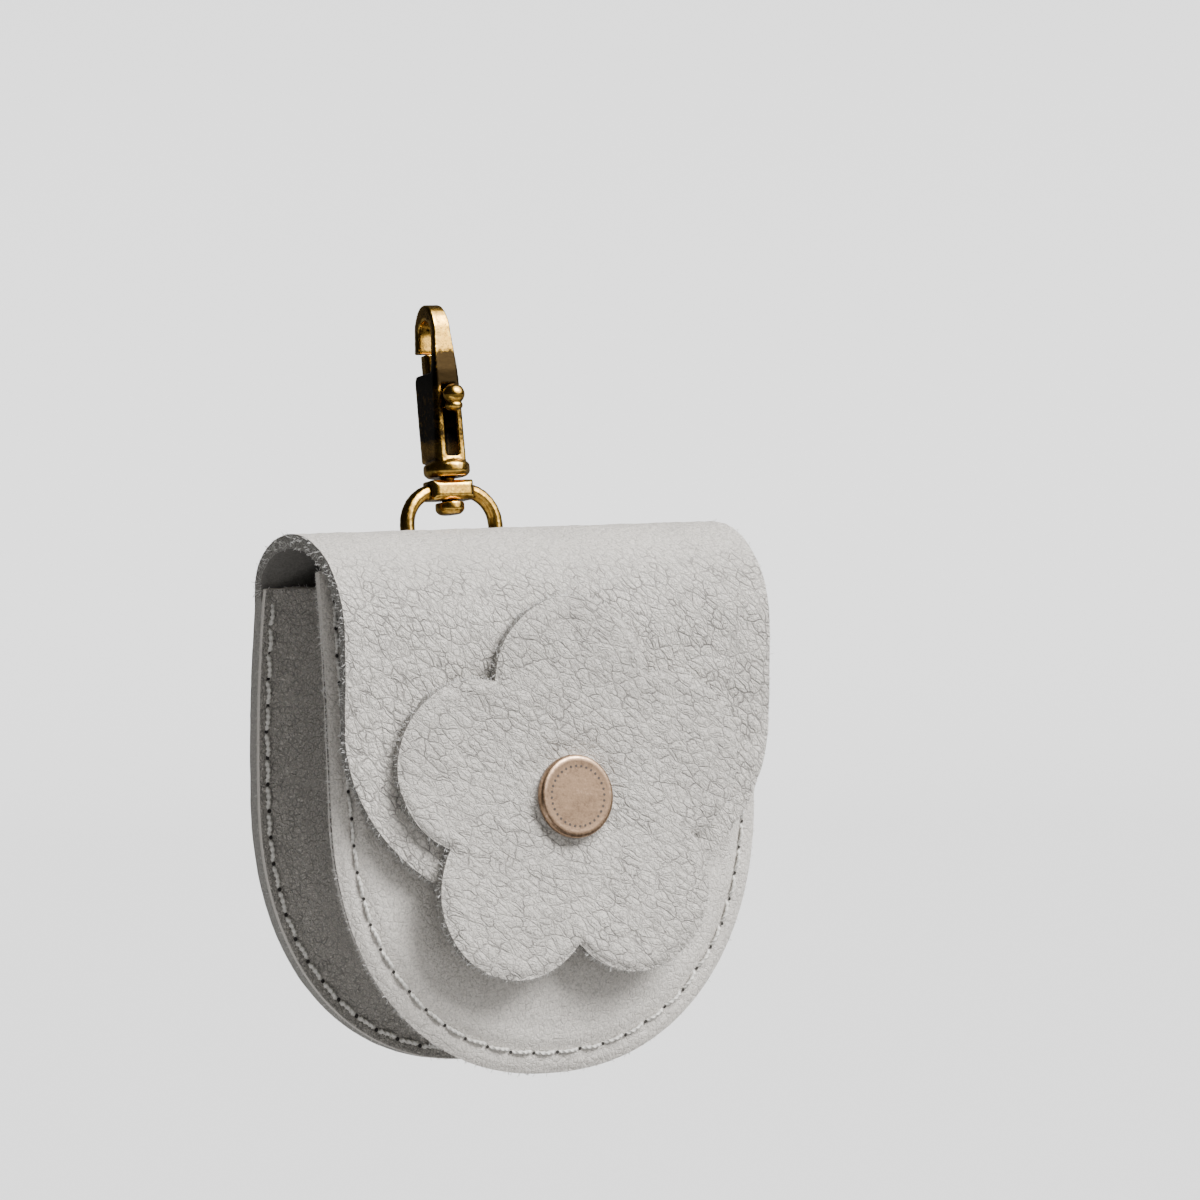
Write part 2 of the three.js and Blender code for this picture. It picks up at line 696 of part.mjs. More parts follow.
// The bolt: a plunger in the barrel's bore, a neck through the slot and a thumb knob
function gateBolt() {
  const neckTop = -KNOB_TOP - GAP;
  const neckLow = -KNOB_TOP - KNOB_HEIGHT + GAP;
  const neckDepth = BARREL_FRONT + BOLT_MIDDLE + KNOB_REACH / 2;
  const plunger = uprightBar(BOLT_WIDTH, BOLT_DEPTH, BOLT_MIDDLE, BOLT_LOW, BOLT_TOP, 0.5);
  const neck = uprightBar(
    KNOB_NECK_WIDTH, neckDepth, BOLT_MIDDLE - neckDepth / 2, neckLow, neckTop, 0.3,
  );
  const knobBack = -BARREL_FRONT - GAP;
  const knobFront = -BARREL_FRONT - KNOB_REACH;
  const round = KNOB_HEIGHT / 3;
  const profile = [
    [knobBack, -KNOB_TOP - KNOB_HEIGHT],
    [knobBack, -KNOB_TOP],
    ...arcPoints(knobFront + round, -KNOB_TOP - round, round, round, 90, 180, 4),
    ...arcPoints(knobFront + round, -KNOB_TOP - KNOB_HEIGHT + round, round, round, 180, 270, 4),
  ];
  const plan = uprightBar(
    KNOB_WIDTH, 2 * KNOB_REACH, -BARREL_FRONT - GAP,
    -KNOB_TOP - KNOB_HEIGHT, -KNOB_TOP, KNOB_WIDTH / 3,
  );
  const knob = slabAcross(profile, KNOB_WIDTH).intersect(plan);
  return toGeometry(plunger.add(neck).add(knob));
}

// Swivel eye: a bridge that turns on the pivot, and a round wire loop with a straight bar

function eyeLine() {
  const half = (EYE_WIDTH - EYE_WIRE) / 2;
  const top = (BRIDGE_TOP + BRIDGE_LOW) / 2;
  const side = half - EYE_SHOULDER;
  const bar = -HANG_LENGTH;
  return [
    ...arcPoints(side, top - EYE_SHOULDER, EYE_SHOULDER, EYE_SHOULDER, 90, 0, 7),
    ...arcPoints(half - EYE_CORNER, bar + EYE_CORNER, EYE_CORNER, EYE_CORNER, 0, -90, 5),
    ...arcPoints(-half + EYE_CORNER, bar + EYE_CORNER, EYE_CORNER, EYE_CORNER, 270, 180, 5),
    ...arcPoints(-side, top - EYE_SHOULDER, EYE_SHOULDER, EYE_SHOULDER, 180, 90, 7),
  ];
}

function eyeLoop() {
  const line = eyeLine();
  const rings = line.map(([x, z], i) => {
    const before = line[(i + line.length - 1) % line.length];
    const after = line[(i + 1) % line.length];
    const run = Math.hypot(after[0] - before[0], after[1] - before[1]);
    const out = [(before[1] - after[1]) / run, (after[0] - before[0]) / run];
    return Array.from({ length: WIRE_SIDES }, (_, j) => {
      const angle = (2 * Math.PI * (j + 0.5)) / WIRE_SIDES;
      const wire = EYE_WIRE / 2;
      const side = wire * Math.cos(angle);
      return [x + out[0] * side, wire * Math.sin(angle), z + out[1] * side];
    });
  });
  const body = loftBody(rings, true);
  return closedBody(body.points, body.triangles);
}

function swivelEye() {
  const round = BRIDGE_HEIGHT / 5;
  const bridge = uprightBar(
    BRIDGE_WIDTH, BRIDGE_DEPTH, 0, BRIDGE_LOW, BRIDGE_TOP, BRIDGE_DEPTH / 4,
  );
  const trim = [[BRIDGE_DEPTH / 2, BRIDGE_LOW + round], [BRIDGE_DEPTH / 2, BRIDGE_TOP - round],
    [BRIDGE_DEPTH / 2 - round, BRIDGE_TOP], [-BRIDGE_DEPTH / 2 + round, BRIDGE_TOP],
    [-BRIDGE_DEPTH / 2, BRIDGE_TOP - round], [-BRIDGE_DEPTH / 2, BRIDGE_LOW + round],
    [-BRIDGE_DEPTH / 2 + round, BRIDGE_LOW], [BRIDGE_DEPTH / 2 - round, BRIDGE_LOW]];
  const radius = PIVOT_DIAMETER / 2 + GAP;
  const hole = new THREE.CylinderGeometry(radius, radius, 2 * BRIDGE_HEIGHT, ROUND_SIDES);
  const holeAt = shift(0, 0, (BRIDGE_TOP + BRIDGE_LOW) / 2).multiply(turnX(Math.PI / 2));
  return toGeometry(
    bridge.intersect(slabAcross(trim, 2 * BRIDGE_WIDTH))
      .add(toSolid(eyeLoop()))
      .subtract(toSolid(hole, holeAt)),
  );
}

// Leather loop round the eye's bar, its two ends sewn one on the other to the back panel
function hangTab() {
  const inner = EYE_WIRE / 2 + GAP;
  const outer = inner + TAB_LEATHER;
  const rear = -outer + 2 * TAB_LEATHER;
  const meet = -Math.sqrt(outer ** 2 - rear ** 2);
  const from = THREE.MathUtils.radToDeg(Math.atan2(meet, rear));
  const outline = [
    [-outer, -TAB_LENGTH],
    [rear, -TAB_LENGTH],
    ...arcPoints(0, 0, outer, outer, from, 180, 18),
  ];
  const bore = new THREE.CylinderGeometry(inner, inner, 2 * TAB_WIDTH, ROUND_SIDES);
  return toGeometry(
    slabAcross(outline, TAB_WIDTH).subtract(toSolid(bore, turnZ(Math.PI / 2))),
  );
}

// Assembly

function piece(parent, name, geometry, material, matrix) {
  const mesh = new THREE.Mesh(geometry, material);
  mesh.name = name;
  if (matrix) matrix.decompose(mesh.position, mesh.quaternion, mesh.scale);
  parent.add(mesh);
}

const hardware = new THREE.Group();
hardware.rotation.x = -HOOK_LEAN;
const brass = metal("antique brass", COLOUR.brass);
piece(hardware, "hook_body", hookBody(), brass);
piece(hardware, "gate_bolt", gateBolt(), brass);
piece(hardware, "swivel_eye", swivelEye(), brass);

const body = new THREE.Group();
body.position.set(0, -HANG_LENGTH * Math.sin(HOOK_LEAN), -HANG_LENGTH * Math.cos(HOOK_LEAN));
const hide = leather("grey pebbled leather", COLOUR.leather);
piece(body, "back_and_flap", punched(backAndFlap()), hide);
piece(body, "front_panel", punched(frontPanel()), hide);
piece(body, "gusset", gusset(), hide);
piece(body, "hang_tab", hangTab(), hide);
piece(body, "flower", punched(flower()), leather("grey flower leather", COLOUR.flower));
piece(body, "snap_cap", snapCap(), metal("antique copper", COLOUR.copper), snapMatrix());

const pouch = new THREE.Group();
pouch.add(hardware, body);
export default pouch;
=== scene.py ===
import math

import bmesh
import bpy
import numpy as np
from mathutils import Matrix, Vector


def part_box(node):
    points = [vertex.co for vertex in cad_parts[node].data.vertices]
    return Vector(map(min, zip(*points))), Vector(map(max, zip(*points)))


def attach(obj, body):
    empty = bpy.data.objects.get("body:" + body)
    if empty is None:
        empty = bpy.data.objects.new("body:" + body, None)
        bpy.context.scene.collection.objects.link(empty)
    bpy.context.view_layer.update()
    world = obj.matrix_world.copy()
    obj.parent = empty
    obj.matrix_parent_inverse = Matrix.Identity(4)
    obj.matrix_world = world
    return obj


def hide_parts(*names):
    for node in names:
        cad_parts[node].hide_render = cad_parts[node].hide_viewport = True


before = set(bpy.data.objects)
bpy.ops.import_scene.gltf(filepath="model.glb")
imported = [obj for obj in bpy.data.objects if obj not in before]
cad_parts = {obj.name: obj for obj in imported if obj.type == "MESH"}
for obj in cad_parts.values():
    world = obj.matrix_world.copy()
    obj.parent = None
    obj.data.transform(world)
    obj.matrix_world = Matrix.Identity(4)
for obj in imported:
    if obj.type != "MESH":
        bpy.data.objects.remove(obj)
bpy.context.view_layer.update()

# Camera. The pouch is seen from its front left, almost level and from well back, as a
# product shot on a long lens, with the frame turned a little against the pouch.
MM = 0.001
CAMERA_AZIMUTH = math.radians(30)
CAMERA_HEIGHT = math.radians(1.5)
CAMERA_ROLL = math.radians(1.35)
CAMERA_DISTANCE = 0.8
FRAME_WIDTH = 0.1785
SENSOR = 36.0
SNAP_OFF_CENTRE = (-17.5 / 1200, -197 / 1200)

snap_low, snap_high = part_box("snap_cap")
look = Vector((
    math.sin(CAMERA_AZIMUTH) * math.cos(CAMERA_HEIGHT),
    math.cos(CAMERA_AZIMUTH) * math.cos(CAMERA_HEIGHT),
    -math.sin(CAMERA_HEIGHT),
))
right = look.cross(Vector((0, 0, 1))).normalized()
up = right.cross(look)
turn = Matrix.Rotation(CAMERA_ROLL, 3, look)
right = turn @ right
up = turn @ up
snap_front = Vector((0, snap_low[1], (snap_low[2] + snap_high[2]) / 2))
aim = snap_front - FRAME_WIDTH * (SNAP_OFF_CENTRE[0] * right + SNAP_OFF_CENTRE[1] * up)
camera_data = bpy.data.cameras.new("camera")
camera_data.sensor_width = SENSOR
camera_data.lens = SENSOR * CAMERA_DISTANCE / FRAME_WIDTH
camera_data.clip_start = 0.01
camera = bpy.data.objects.new("camera", camera_data)
axes = Matrix((right, up, -look)).transposed().to_4x4()
camera.matrix_world = Matrix.Translation(aim - look * CAMERA_DISTANCE) @ axes
bpy.context.collection.objects.link(camera)
bpy.context.scene.camera = camera


# Leather of the back, fold and flap. One piece of pale grey full grain hide, 2.2 mm thick,
# die cut, with a pebbled outer face, raw fibrous edges and a suede inner face.
LEATHER = 2.2
GAP = 0.3
FLAP_STRAIGHT = 29.0
FLAP_CURVE = 29.3
BODY_STRAIGHT = 40.4
ARCH_CREST = 13.0
ARCH_BACK = 8.4
ARCH_FRONT = 15.0
FLAP_DEPTH = 29.5
FLAP_SINK = 0.8
FLAP_FLARE = 1.4
BODY_FULLNESS = 2.2
FLAP_FULLNESS = 2.0
BACK_SPREAD = 3.8
SPREAD_TOP = 21.3
SNAP_DROP = 40.2

sheet_low, sheet_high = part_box("back_and_flap")
HALF_WIDTH = sheet_high[0] / MM
BODY_LENGTH = (sheet_high[2] - sheet_low[2]) / MM
BODY_CURVE = BODY_LENGTH - BODY_STRAIGHT
BACK_Y = sheet_high[1] / MM - BACK_SPREAD
TOP_Z = sheet_high[2] / MM


def smoothstep(value, low, high):
    t = np.clip((value - low) / (high - low), 0, 1)
    return t * t * (3 - 2 * t)


def place(x, drop, depth):
    """Points of the leather body, in mm: x, a drop below the fold, a depth from the back face."""
    x, drop, depth = np.broadcast_arrays(x, drop, depth)
    return np.stack([x, BACK_Y - depth, TOP_Z - drop], axis=-1)


def soft_noise(x, y, wavelength, seed):
    """Gentle waves in all directions, about -1 to 1."""
    random = np.random.default_rng(seed)
    total = np.zeros(np.broadcast(x, y).shape)
    for _ in range(7):
        angle = random.uniform(0, 2 * math.pi)
        size = 2 * math.pi / (wavelength * random.uniform(0.7, 1.5))
        phase = random.uniform(0, 2 * math.pi)
        total += np.sin((x * math.cos(angle) + y * math.sin(angle)) * size + phase)
    return total / 3.5


def end_point(angle, fullness):
    """The edge of a rounded end at an angle, as shares of its reach across and down."""
    across, down = math.cos(angle), math.sin(angle)
    power = 2 / fullness
    return math.copysign(abs(across) ** power, across), abs(down) ** power


class Net:
    """A flat net of faces over a sheet, whose points are (x, q) and are shared where equal."""

    def __init__(self):
        self.points = []
        self.faces = []
        self.known = {}

    def at(self, x, q):
        key = (round(x, 4), round(q, 4))
        if key not in self.known:
            self.known[key] = len(self.points)
            self.points.append((x, q))
        return self.known[key]

    def strips(self, lines):
        for first, second in zip(lines, lines[1:]):
            for i in range(len(first) - 1):
                ring = [first[i], first[i + 1], second[i + 1], second[i]]
                face = [v for k, v in enumerate(ring) if v != ring[k - 1]]
                if len(face) > 2:
                    self.faces.append(face)

    def rows(self, drops, shares):
        across = [-s for s in reversed(shares)] + list(shares[1:])
        self.strips([[self.at(s * HALF_WIDTH, q) for s in across] for q in drops])

    def end(self, start, height, rays, shares, fullness):
        lines = []
        for i in range(rays + 1):
            along, down = end_point(math.pi * i / rays, fullness)
            lines.append([
                self.at(s * HALF_WIDTH * along, start + s * height * down) for s in shares
            ])
        self.strips(lines if height > 0 else lines[::-1])

    def arrays(self):
        points = np.array(self.points)
        return points[:, 0], points[:, 1]


def mesh_piece(name, points_mm, faces, materials):
    """A new object at the origin from points in mm, smooth shaded."""
    mesh = bpy.data.meshes.new(name)
    mesh.from_pydata((np.asarray(points_mm) * MM).tolist(), [], faces)
    mesh.validate()
    mesh.shade_smooth()
    for material in materials:
        mesh.materials.append(material)
    piece = bpy.data.objects.new(name, mesh)
    bpy.context.collection.objects.link(piece)
    return piece


def point_out(piece, outwards):
    """Makes the faces of a piece agree and, taken together, face a given way."""
    bm = bmesh.new()
    bm.from_mesh(piece.data)
    bmesh.ops.recalc_face_normals(bm, faces=bm.faces)
    bm.faces.ensure_lookup_table()
    total = sum((f.normal * f.calc_area() for f in bm.faces), Vector())
    if total.dot(Vector(outwards)) < 0:
        bmesh.ops.reverse_faces(bm, faces=bm.faces)
    bm.to_mesh(piece.data)
    bm.free()


def apply_modifiers(piece):
    """Makes the piece the plain mesh that its modifiers give."""
    graph = bpy.context.evaluated_depsgraph_get()
    mesh = bpy.data.meshes.new_from_object(piece.evaluated_get(graph))
    piece.modifiers.clear()
    old = piece.data
    piece.data = mesh
    bpy.data.meshes.remove(old)


def thicken(piece, thickness, rounding=0.32, segments=2, shares=None):
    """Gives a sheet its thickness behind its outer face, with a rounded raw edge.

    Where the leather is pared down, shares holds what is left at each point.
    """
    solid = piece.modifiers.new("thickness", "SOLIDIFY")
    solid.thickness = thickness * MM
    solid.offset = -1
    solid.use_even_offset = True
    if shares is not None:
        pared = piece.vertex_groups.new(name="pared")
        for i, share in enumerate(shares):
            pared.add([i], float(share), "REPLACE")
        solid.vertex_group = "pared"
    solid.material_offset = 2
    solid.material_offset_rim = 1
    bevel = piece.modifiers.new("cut edge", "BEVEL")
    bevel.width = rounding * MM
    bevel.segments = segments
    bevel.limit_method = "ANGLE"
    bevel.angle_limit = math.radians(50)
    apply_modifiers(piece)
    piece.data.shade_smooth()


SOCKETS = {
    "value": "NodeSocketFloat", "vector": "NodeSocketVector", "whole": "NodeSocketInt",
    "mesh": "NodeSocketGeometry", "material": "NodeSocketMaterial",
}


def node_group(name, inputs, outputs, tree="ShaderNodeTree"):
    """A node group with named sockets, and the nodes where it starts and finishes."""
    group = bpy.data.node_groups.new(name, tree)
    for label, kind, default in inputs:
        socket = group.interface.new_socket(name=label, in_out="INPUT", socket_type=SOCKETS[kind])
        if default is not None:
            socket.default_value = default
    for label, kind in outputs:
        group.interface.new_socket(name=label, in_out="OUTPUT", socket_type=SOCKETS[kind])
    return group, group.nodes.new("NodeGroupInput"), group.nodes.new("NodeGroupOutput")


class Wiring:
    """Short calls that add nodes to a tree and join them."""

    def __init__(self, tree):
        self.tree = tree

    def node(self, kind, settings=None, **inputs):
        made = self.tree.nodes.new(kind)
        for key, value in (settings or {}).items():
            setattr(made, key, value)
        for key, value in inputs.items():
            self.feed(made, key.replace("_", " "), value)
        return made

    def feed(self, made, key, value):
        socket = made.inputs[int(key[1:])] if key[0] == "#" else made.inputs[key]
        if isinstance(value, bpy.types.NodeSocket):
            self.tree.links.new(value, socket)
        else:
            socket.default_value = value

    def math(self, operation, first, second=0.0, third=0.0):
        made = self.tree.nodes.new("ShaderNodeMath")
        made.operation = operation
        for i, value in enumerate((first, second, third)):
            self.feed(made, f"#{i}", value)
        return made.outputs[0]

    def vector(self, operation, first, second):
        made = self.tree.nodes.new("ShaderNodeVectorMath")
        made.operation = operation
        self.feed(made, "#0", first)
        if operation == "SCALE":
            self.feed(made, "Scale", second)
        else:
            self.feed(made, "#1", second)
        return made.outputs[0]

    def noise(self, vector, scale, detail=2.0, roughness=0.5):
        return self.node("ShaderNodeTexNoise", Vector=vector, Scale=scale, Detail=detail,
                         Roughness=roughness)

    def ramp(self, value, low, high, to_low=0.0, to_high=1.0):
        made = self.node("ShaderNodeMapRange", {"interpolation_type": "SMOOTHSTEP"})
        for key, item in (
            ("Value", value), ("From Min", low), ("From Max", high),
            ("To Min", to_low), ("To Max", to_high),
        ):
            self.feed(made, key, item)
        return made.outputs["Result"]

    def mix(self, factor, first, second, blend="MIX"):
        made = self.node("ShaderNodeMix", {"data_type": "RGBA", "blend_type": blend})
        self.feed(made, "#0", factor)
        self.feed(made, "#6", first)
        self.feed(made, "#7", second)
        return made.outputs[2]

    def bump(self, shader, height, depth):
        """Raises a shader's surface by up to a depth in mm."""
        made = self.node("ShaderNodeBump", Height=height, Strength=1.0, Distance=depth * MM)
        self.feed(shader, "Normal", made.outputs["Normal"])


def grain_cells(w, in_mm, values):
    """Places in a pattern of cells: turned, drawn out, scaled by the cell and bent by noise."""
    turned = w.node("ShaderNodeVectorRotate", {"rotation_type": "Y_AXIS"}, Vector=in_mm,
                    Angle=values["Turn"]).outputs[0]
    size = w.math("DIVIDE", 1.0, values["Cell"])
    cells = w.vector("SCALE", w.vector("MULTIPLY", turned, values["Stretch"]), size)
    half = (0.5, 0.5, 0.5)
    broad = w.vector("SUBTRACT", w.noise(cells, 0.8, 2.0).outputs["Color"], half)
    close = w.vector("SUBTRACT", w.noise(cells, 2.6, 2.0).outputs["Color"], half)
    broad = w.vector("SCALE", broad, values["Wander"])
    close = w.vector("SCALE", close, w.math("MULTIPLY", values["Wander"], 0.3))
    return w.vector("ADD", w.vector("ADD", cells, broad), close)


def grain_group():
    """Pebbled hide. Cells of a size in mm, parted by creases, with finer cells and grit."""
    group, start, finish = node_group("pebbled_grain", [
        ("Cell", "value", 2.4), ("Crease Width", "value", 0.1), ("Fine", "value", 0.35),
        ("Wander", "value", 0.7), ("Stretch", "vector", (1, 1, 1)), ("Turn", "value", 0.0),
        ("Grit", "value", 0.3), ("Smooth Above", "value", 100.0), ("Faintest", "value", 0.5),
    ], [("Height", "value"), ("Crease", "value"), ("Mottle", "value"), ("Speckle", "value")])
    w = Wiring(group)
    coordinates = w.node("ShaderNodeTexCoord").outputs["Object"]
    in_mm = w.vector("SCALE", coordinates, 1000.0)
    values = start.outputs
    bent = grain_cells(w, in_mm, values)
    big = w.node("ShaderNodeTexVoronoi", {"feature": "DISTANCE_TO_EDGE"}, Vector=bent, Scale=1.0)
    small = w.node("ShaderNodeTexVoronoi", {"feature": "DISTANCE_TO_EDGE"}, Vector=bent, Scale=2.2)
    width = values["Crease Width"]
    patchy = w.ramp(w.noise(bent, 0.7, 2.0).outputs["Fac"], 0.35, 0.65, values["Faintest"], 1.0)
    big_crease = w.math("MULTIPLY", w.ramp(big.outputs["Distance"], 0.0, width, 1.0, 0.0), patchy)
    small_width = w.math("MULTIPLY", width, 1.5)
    small_crease = w.ramp(small.outputs["Distance"], 0.0, small_width, 1.0, 0.0)
    fine_part = w.math("MULTIPLY", small_crease, values["Fine"])
    crease = w.math("MAXIMUM", big_crease, fine_part)
    high = w.node("ShaderNodeSeparateXYZ", Vector=in_mm).outputs["Z"]
    pulled = w.ramp(w.math("SUBTRACT", high, values["Smooth Above"]), -7.0, 1.0, 1.0, 0.25)
    crease = w.math("MULTIPLY", crease, pulled)
    pillow = w.ramp(big.outputs["Distance"], 0.0, 0.4)
    grit = w.noise(in_mm, 2.9, 3.0, 0.75).outputs["Fac"]
    height = w.math("MULTIPLY_ADD", crease, -0.8, 0.8)
    height = w.math("MULTIPLY_ADD", pillow, 0.45, height)
    height = w.math("MULTIPLY_ADD", grit, values["Grit"], height)
    mottle = w.noise(in_mm, 0.09, 4.0, 0.55).outputs["Fac"]
    w.feed(finish, "Height", height)
    w.feed(finish, "Crease", crease)
    w.feed(finish, "Mottle", mottle)
    w.feed(finish, "Speckle", grit)
    return group


def fibre_group():
    """Matted fibres of cut or inner leather, as a height and a tone."""
    group, start, finish = node_group("leather_fibres", [
        ("Size", "value", 1.0),
    ], [("Height", "value"), ("Tone", "value")])
    w = Wiring(group)
    coordinates = w.node("ShaderNodeTexCoord").outputs["Object"]
    size = w.math("DIVIDE", 1000.0, start.outputs["Size"])
    scaled = w.vector("SCALE", coordinates, size)
    swirl = w.noise(scaled, 0.8, 2.0).outputs["Color"]
    bent = w.vector("ADD", scaled, w.vector("SCALE", swirl, 1.6))
    first = w.noise(bent, 2.4, 4.0, 0.7).outputs["Fac"]
    second = w.noise(scaled, 6.5, 3.0, 0.6).outputs["Fac"]
    height = w.math("MULTIPLY_ADD", second, 0.4, w.math("MULTIPLY", first, 0.8))
    w.feed(finish, "Height", height)
    w.feed(finish, "Tone", w.ramp(first, 0.3, 0.7))
    return group


PEBBLES = grain_group()
FIBRES = fibre_group()


def new_material(name):
    material = bpy.data.materials.new(name)
    material.use_nodes = True
    shader = material.node_tree.nodes["Principled BSDF"]
    return material, Wiring(material.node_tree), shader


def use_group(w, group, **values):
    made = w.tree.nodes.new("ShaderNodeGroup")
    made.node_tree = group
    for key, value in values.items():
        w.feed(made, key.replace("_", " "), value)
    return made


MOTTLE_LIGHT = 1.035
MOTTLE_DARK = 0.93
SPECKLE_DARK = 0.66
# Painted shade: the darkest colour in the grain's creases, as a share of the tone
CREASE_SHADE_DARKEST = 0.33
WANDER = 0.7
GRIT = 1.1


def toned(tone, share):
    """A colour that is a share of a tone, no lighter than white."""
    return tuple(min(1, c * share) for c in tone) + (1,)


def grain_leather(name, tone, cell, depth, crease_width=0.1, fine=0.45, stretch=(1, 1, 1),
                  turn=0.0, crease_dark=1.0, smooth_above=100.0, patchy=0.5):
    """Outer face of the hide: satin, pale warm grey, with painted shade darkening its creases."""
    material, w, shader = new_material(name)
    grain = use_group(w, PEBBLES, Cell=cell, Crease_Width=crease_width, Fine=fine,
                      Wander=WANDER, Stretch=stretch, Turn=turn, Grit=GRIT,
                      Smooth_Above=smooth_above, Faintest=patchy).outputs
    base = w.mix(w.ramp(grain["Mottle"], 0.3, 0.7), toned(tone, MOTTLE_DARK),
                 toned(tone, MOTTLE_LIGHT))
    base = w.mix(w.ramp(grain["Speckle"], 0.55, 0.36), base, toned(tone, SPECKLE_DARK))
    # Painted shade: the base colour darkens along the grain's creases
    shade = w.math("MULTIPLY", grain["Crease"], crease_dark)
    w.feed(shader, "Base Color", w.mix(shade, base, toned(tone, CREASE_SHADE_DARKEST)))
    w.feed(shader, "Roughness", w.math("MULTIPLY_ADD", grain["Crease"], 0.18, 0.52))
    w.feed(shader, "Specular IOR Level", 0.4)
    w.bump(shader, grain["Height"], depth)
    return material


def fibre_leather(name, tone, size, depth, contrast):
    """Cut edge or inner face of the hide: matt, matted fibres."""
    material, w, shader = new_material(name)
    fibres = use_group(w, FIBRES, Size=size)
    w.feed(shader, "Base Color", w.mix(
        fibres.outputs["Tone"], toned(tone, 1 - contrast), toned(tone, 1 + contrast * 0.35)))
    w.feed(shader, "Roughness", 0.95)
    w.feed(shader, "Specular IOR Level", 0.2)
    w.bump(shader, fibres.outputs["Height"], depth)
    return material


# The cut edges, the rubbed edge and the inner face are far darker than the outer face: partly the
# raw leather's own deeper tone, partly painted shade for the edges and the inside of the fold that
# lie in shade
HIDE_TONE = (0.617, 0.58, 0.532)
CUT_EDGE_SHADED_TONE = (0.36, 0.345, 0.32)
RUBBED_EDGE_SHADED_TONE = (0.4, 0.385, 0.36)
FLESH_SHADED_TONE = (0.17, 0.162, 0.15)
FLAP_CELL = 1.3
FLAP_STRETCH = (0.55, 1.0, 1.0)
FLAP_TURN = math.radians(-48)
FLAP_TONE = tuple(c * 1.1 for c in HIDE_TONE)
flap_grain = grain_leather("flap_leather", FLAP_TONE, FLAP_CELL, 0.28, stretch=FLAP_STRETCH,
                           turn=FLAP_TURN, smooth_above=-34.0)
cut_edge = fibre_leather("cut_leather_edge", CUT_EDGE_SHADED_TONE, 0.55, 0.3, 0.6)
smooth_edge = fibre_leather("smoothed_leather_edge", HIDE_TONE, 0.5, 0.05, 0.12)
rubbed_edge = fibre_leather("rubbed_leather_edge", RUBBED_EDGE_SHADED_TONE, 0.5, 0.15, 0.4)
flesh_side = fibre_leather("inner_leather", FLESH_SHADED_TONE, 0.9, 0.1, 0.25)


def flap_depth(drop):
    dip = FLAP_SINK * np.sin(math.pi / 2 * smoothstep(drop, ARCH_FRONT, SNAP_DROP))
    flare = FLAP_FLARE * np.maximum(0, (drop - FLAP_STRAIGHT) / FLAP_CURVE) ** 2
    return FLAP_DEPTH - dip + flare


def back_depth(x, drop):
    """Depth of the back panel's outer face, which the full pouch pushes back at its sides."""
    middle = smoothstep(drop, SPREAD_TOP, BODY_STRAIGHT)
    fallen = np.clip((drop - ARCH_BACK) / (BODY_STRAIGHT - ARCH_BACK), 0, 1)
    side = fallen * (2 - fallen)
    outwards = smoothstep(np.abs(x), 9, 26)
    return -BACK_SPREAD * (middle + (side - middle) * outwards)


def sheet_line(x, q):
    """Depth and drop of the folded sheet's outer face; q is the drop, negative on the back."""
    rear = math.pi / 2 * (1 + q / ARCH_BACK)
    front = math.pi / 2 * q / ARCH_FRONT
    reach = FLAP_DEPTH - ARCH_CREST
    depth = np.select(
        [q <= -ARCH_BACK, q < 0, q < ARCH_FRONT],
        [back_depth(x, -q), ARCH_CREST * (1 - np.cos(rear)),
         ARCH_CREST + reach * np.sin(front)],
        flap_depth(q),
    )
    drop = np.select(
        [q <= -ARCH_BACK, q < 0, q < ARCH_FRONT],
        [-q, ARCH_BACK * (1 - np.sin(rear)), ARCH_FRONT * (1 - np.cos(front))],
        q,
    )
    return depth, drop


def spread(low, high, step):
    count = max(1, int(round(abs(high - low) / step)))
    return list(np.linspace(low, high, count + 1))


FINE = 0.62
SHARES = [s / 58 for s in range(55)] + [0.96, 0.975, 0.99, 1.0]
BODY_RAYS = 160
sheet_net = Net()
sheet_net.end(-BODY_STRAIGHT, -BODY_CURVE, BODY_RAYS, SHARES, BODY_FULLNESS)
sheet_net.rows(
    spread(-BODY_STRAIGHT, -ARCH_BACK, 1.2)
    + spread(-ARCH_BACK, 0, 0.5)[1:]
    + spread(0, ARCH_FRONT, 0.6)[1:]
    + spread(ARCH_FRONT, FLAP_STRAIGHT, FINE)[1:],
    SHARES,
)
sheet_net.end(FLAP_STRAIGHT, FLAP_CURVE, 150, SHARES, FLAP_FULLNESS)


def outline_inset(x, q, straight, curve, fullness):
    """Distance in mm from the edge of a tongue-shaped outline."""
    across = np.abs(x) / HALF_WIDTH
    below = np.maximum(0, np.abs(q) - straight) / curve
    return (1 - (across ** fullness + below ** fullness) ** (1 / fullness)) * HALF_WIDTH


BACK_SEAM = 1.6
SEAM_GROOVE = 0.3


def seam_relief(inset, seam):
    """The stitched margin: pressed in along the thread, rolled over at the edge."""
    groove = -SEAM_GROOVE * np.exp(-(((inset - seam) / 0.8) ** 2))
    pillow = 0.25 * np.exp(-(((inset - seam - 2.0) / 1.2) ** 2))
    roll = -0.45 * np.exp(-((np.maximum(inset, 0) / 0.75) ** 2))
    return groove + pillow + roll


def creases(x, y, seed, count, box, lean, spread, lengths, depths, width):
    """Short pressed-in creases in a box of the sheet, all leaning roughly one way."""
    random = np.random.default_rng(seed)
    total = np.zeros(np.broadcast(x, y).shape)
    for _ in range(count):
        middle = random.uniform(box[0], box[1])
        angle = random.normal(lean, spread)
        along = (x - middle[0]) * math.cos(angle) + (y - middle[1]) * math.sin(angle)
        across = (y - middle[1]) * math.cos(angle) - (x - middle[0]) * math.sin(angle)
        across = across + random.uniform(0.2, 0.6) * np.sin(along / random.uniform(1.5, 3.5))
        fade = np.exp(-((2 * along / random.uniform(*lengths)) ** 4))
        total -= random.uniform(*depths) * fade * np.exp(-((across / width) ** 2))
    return total


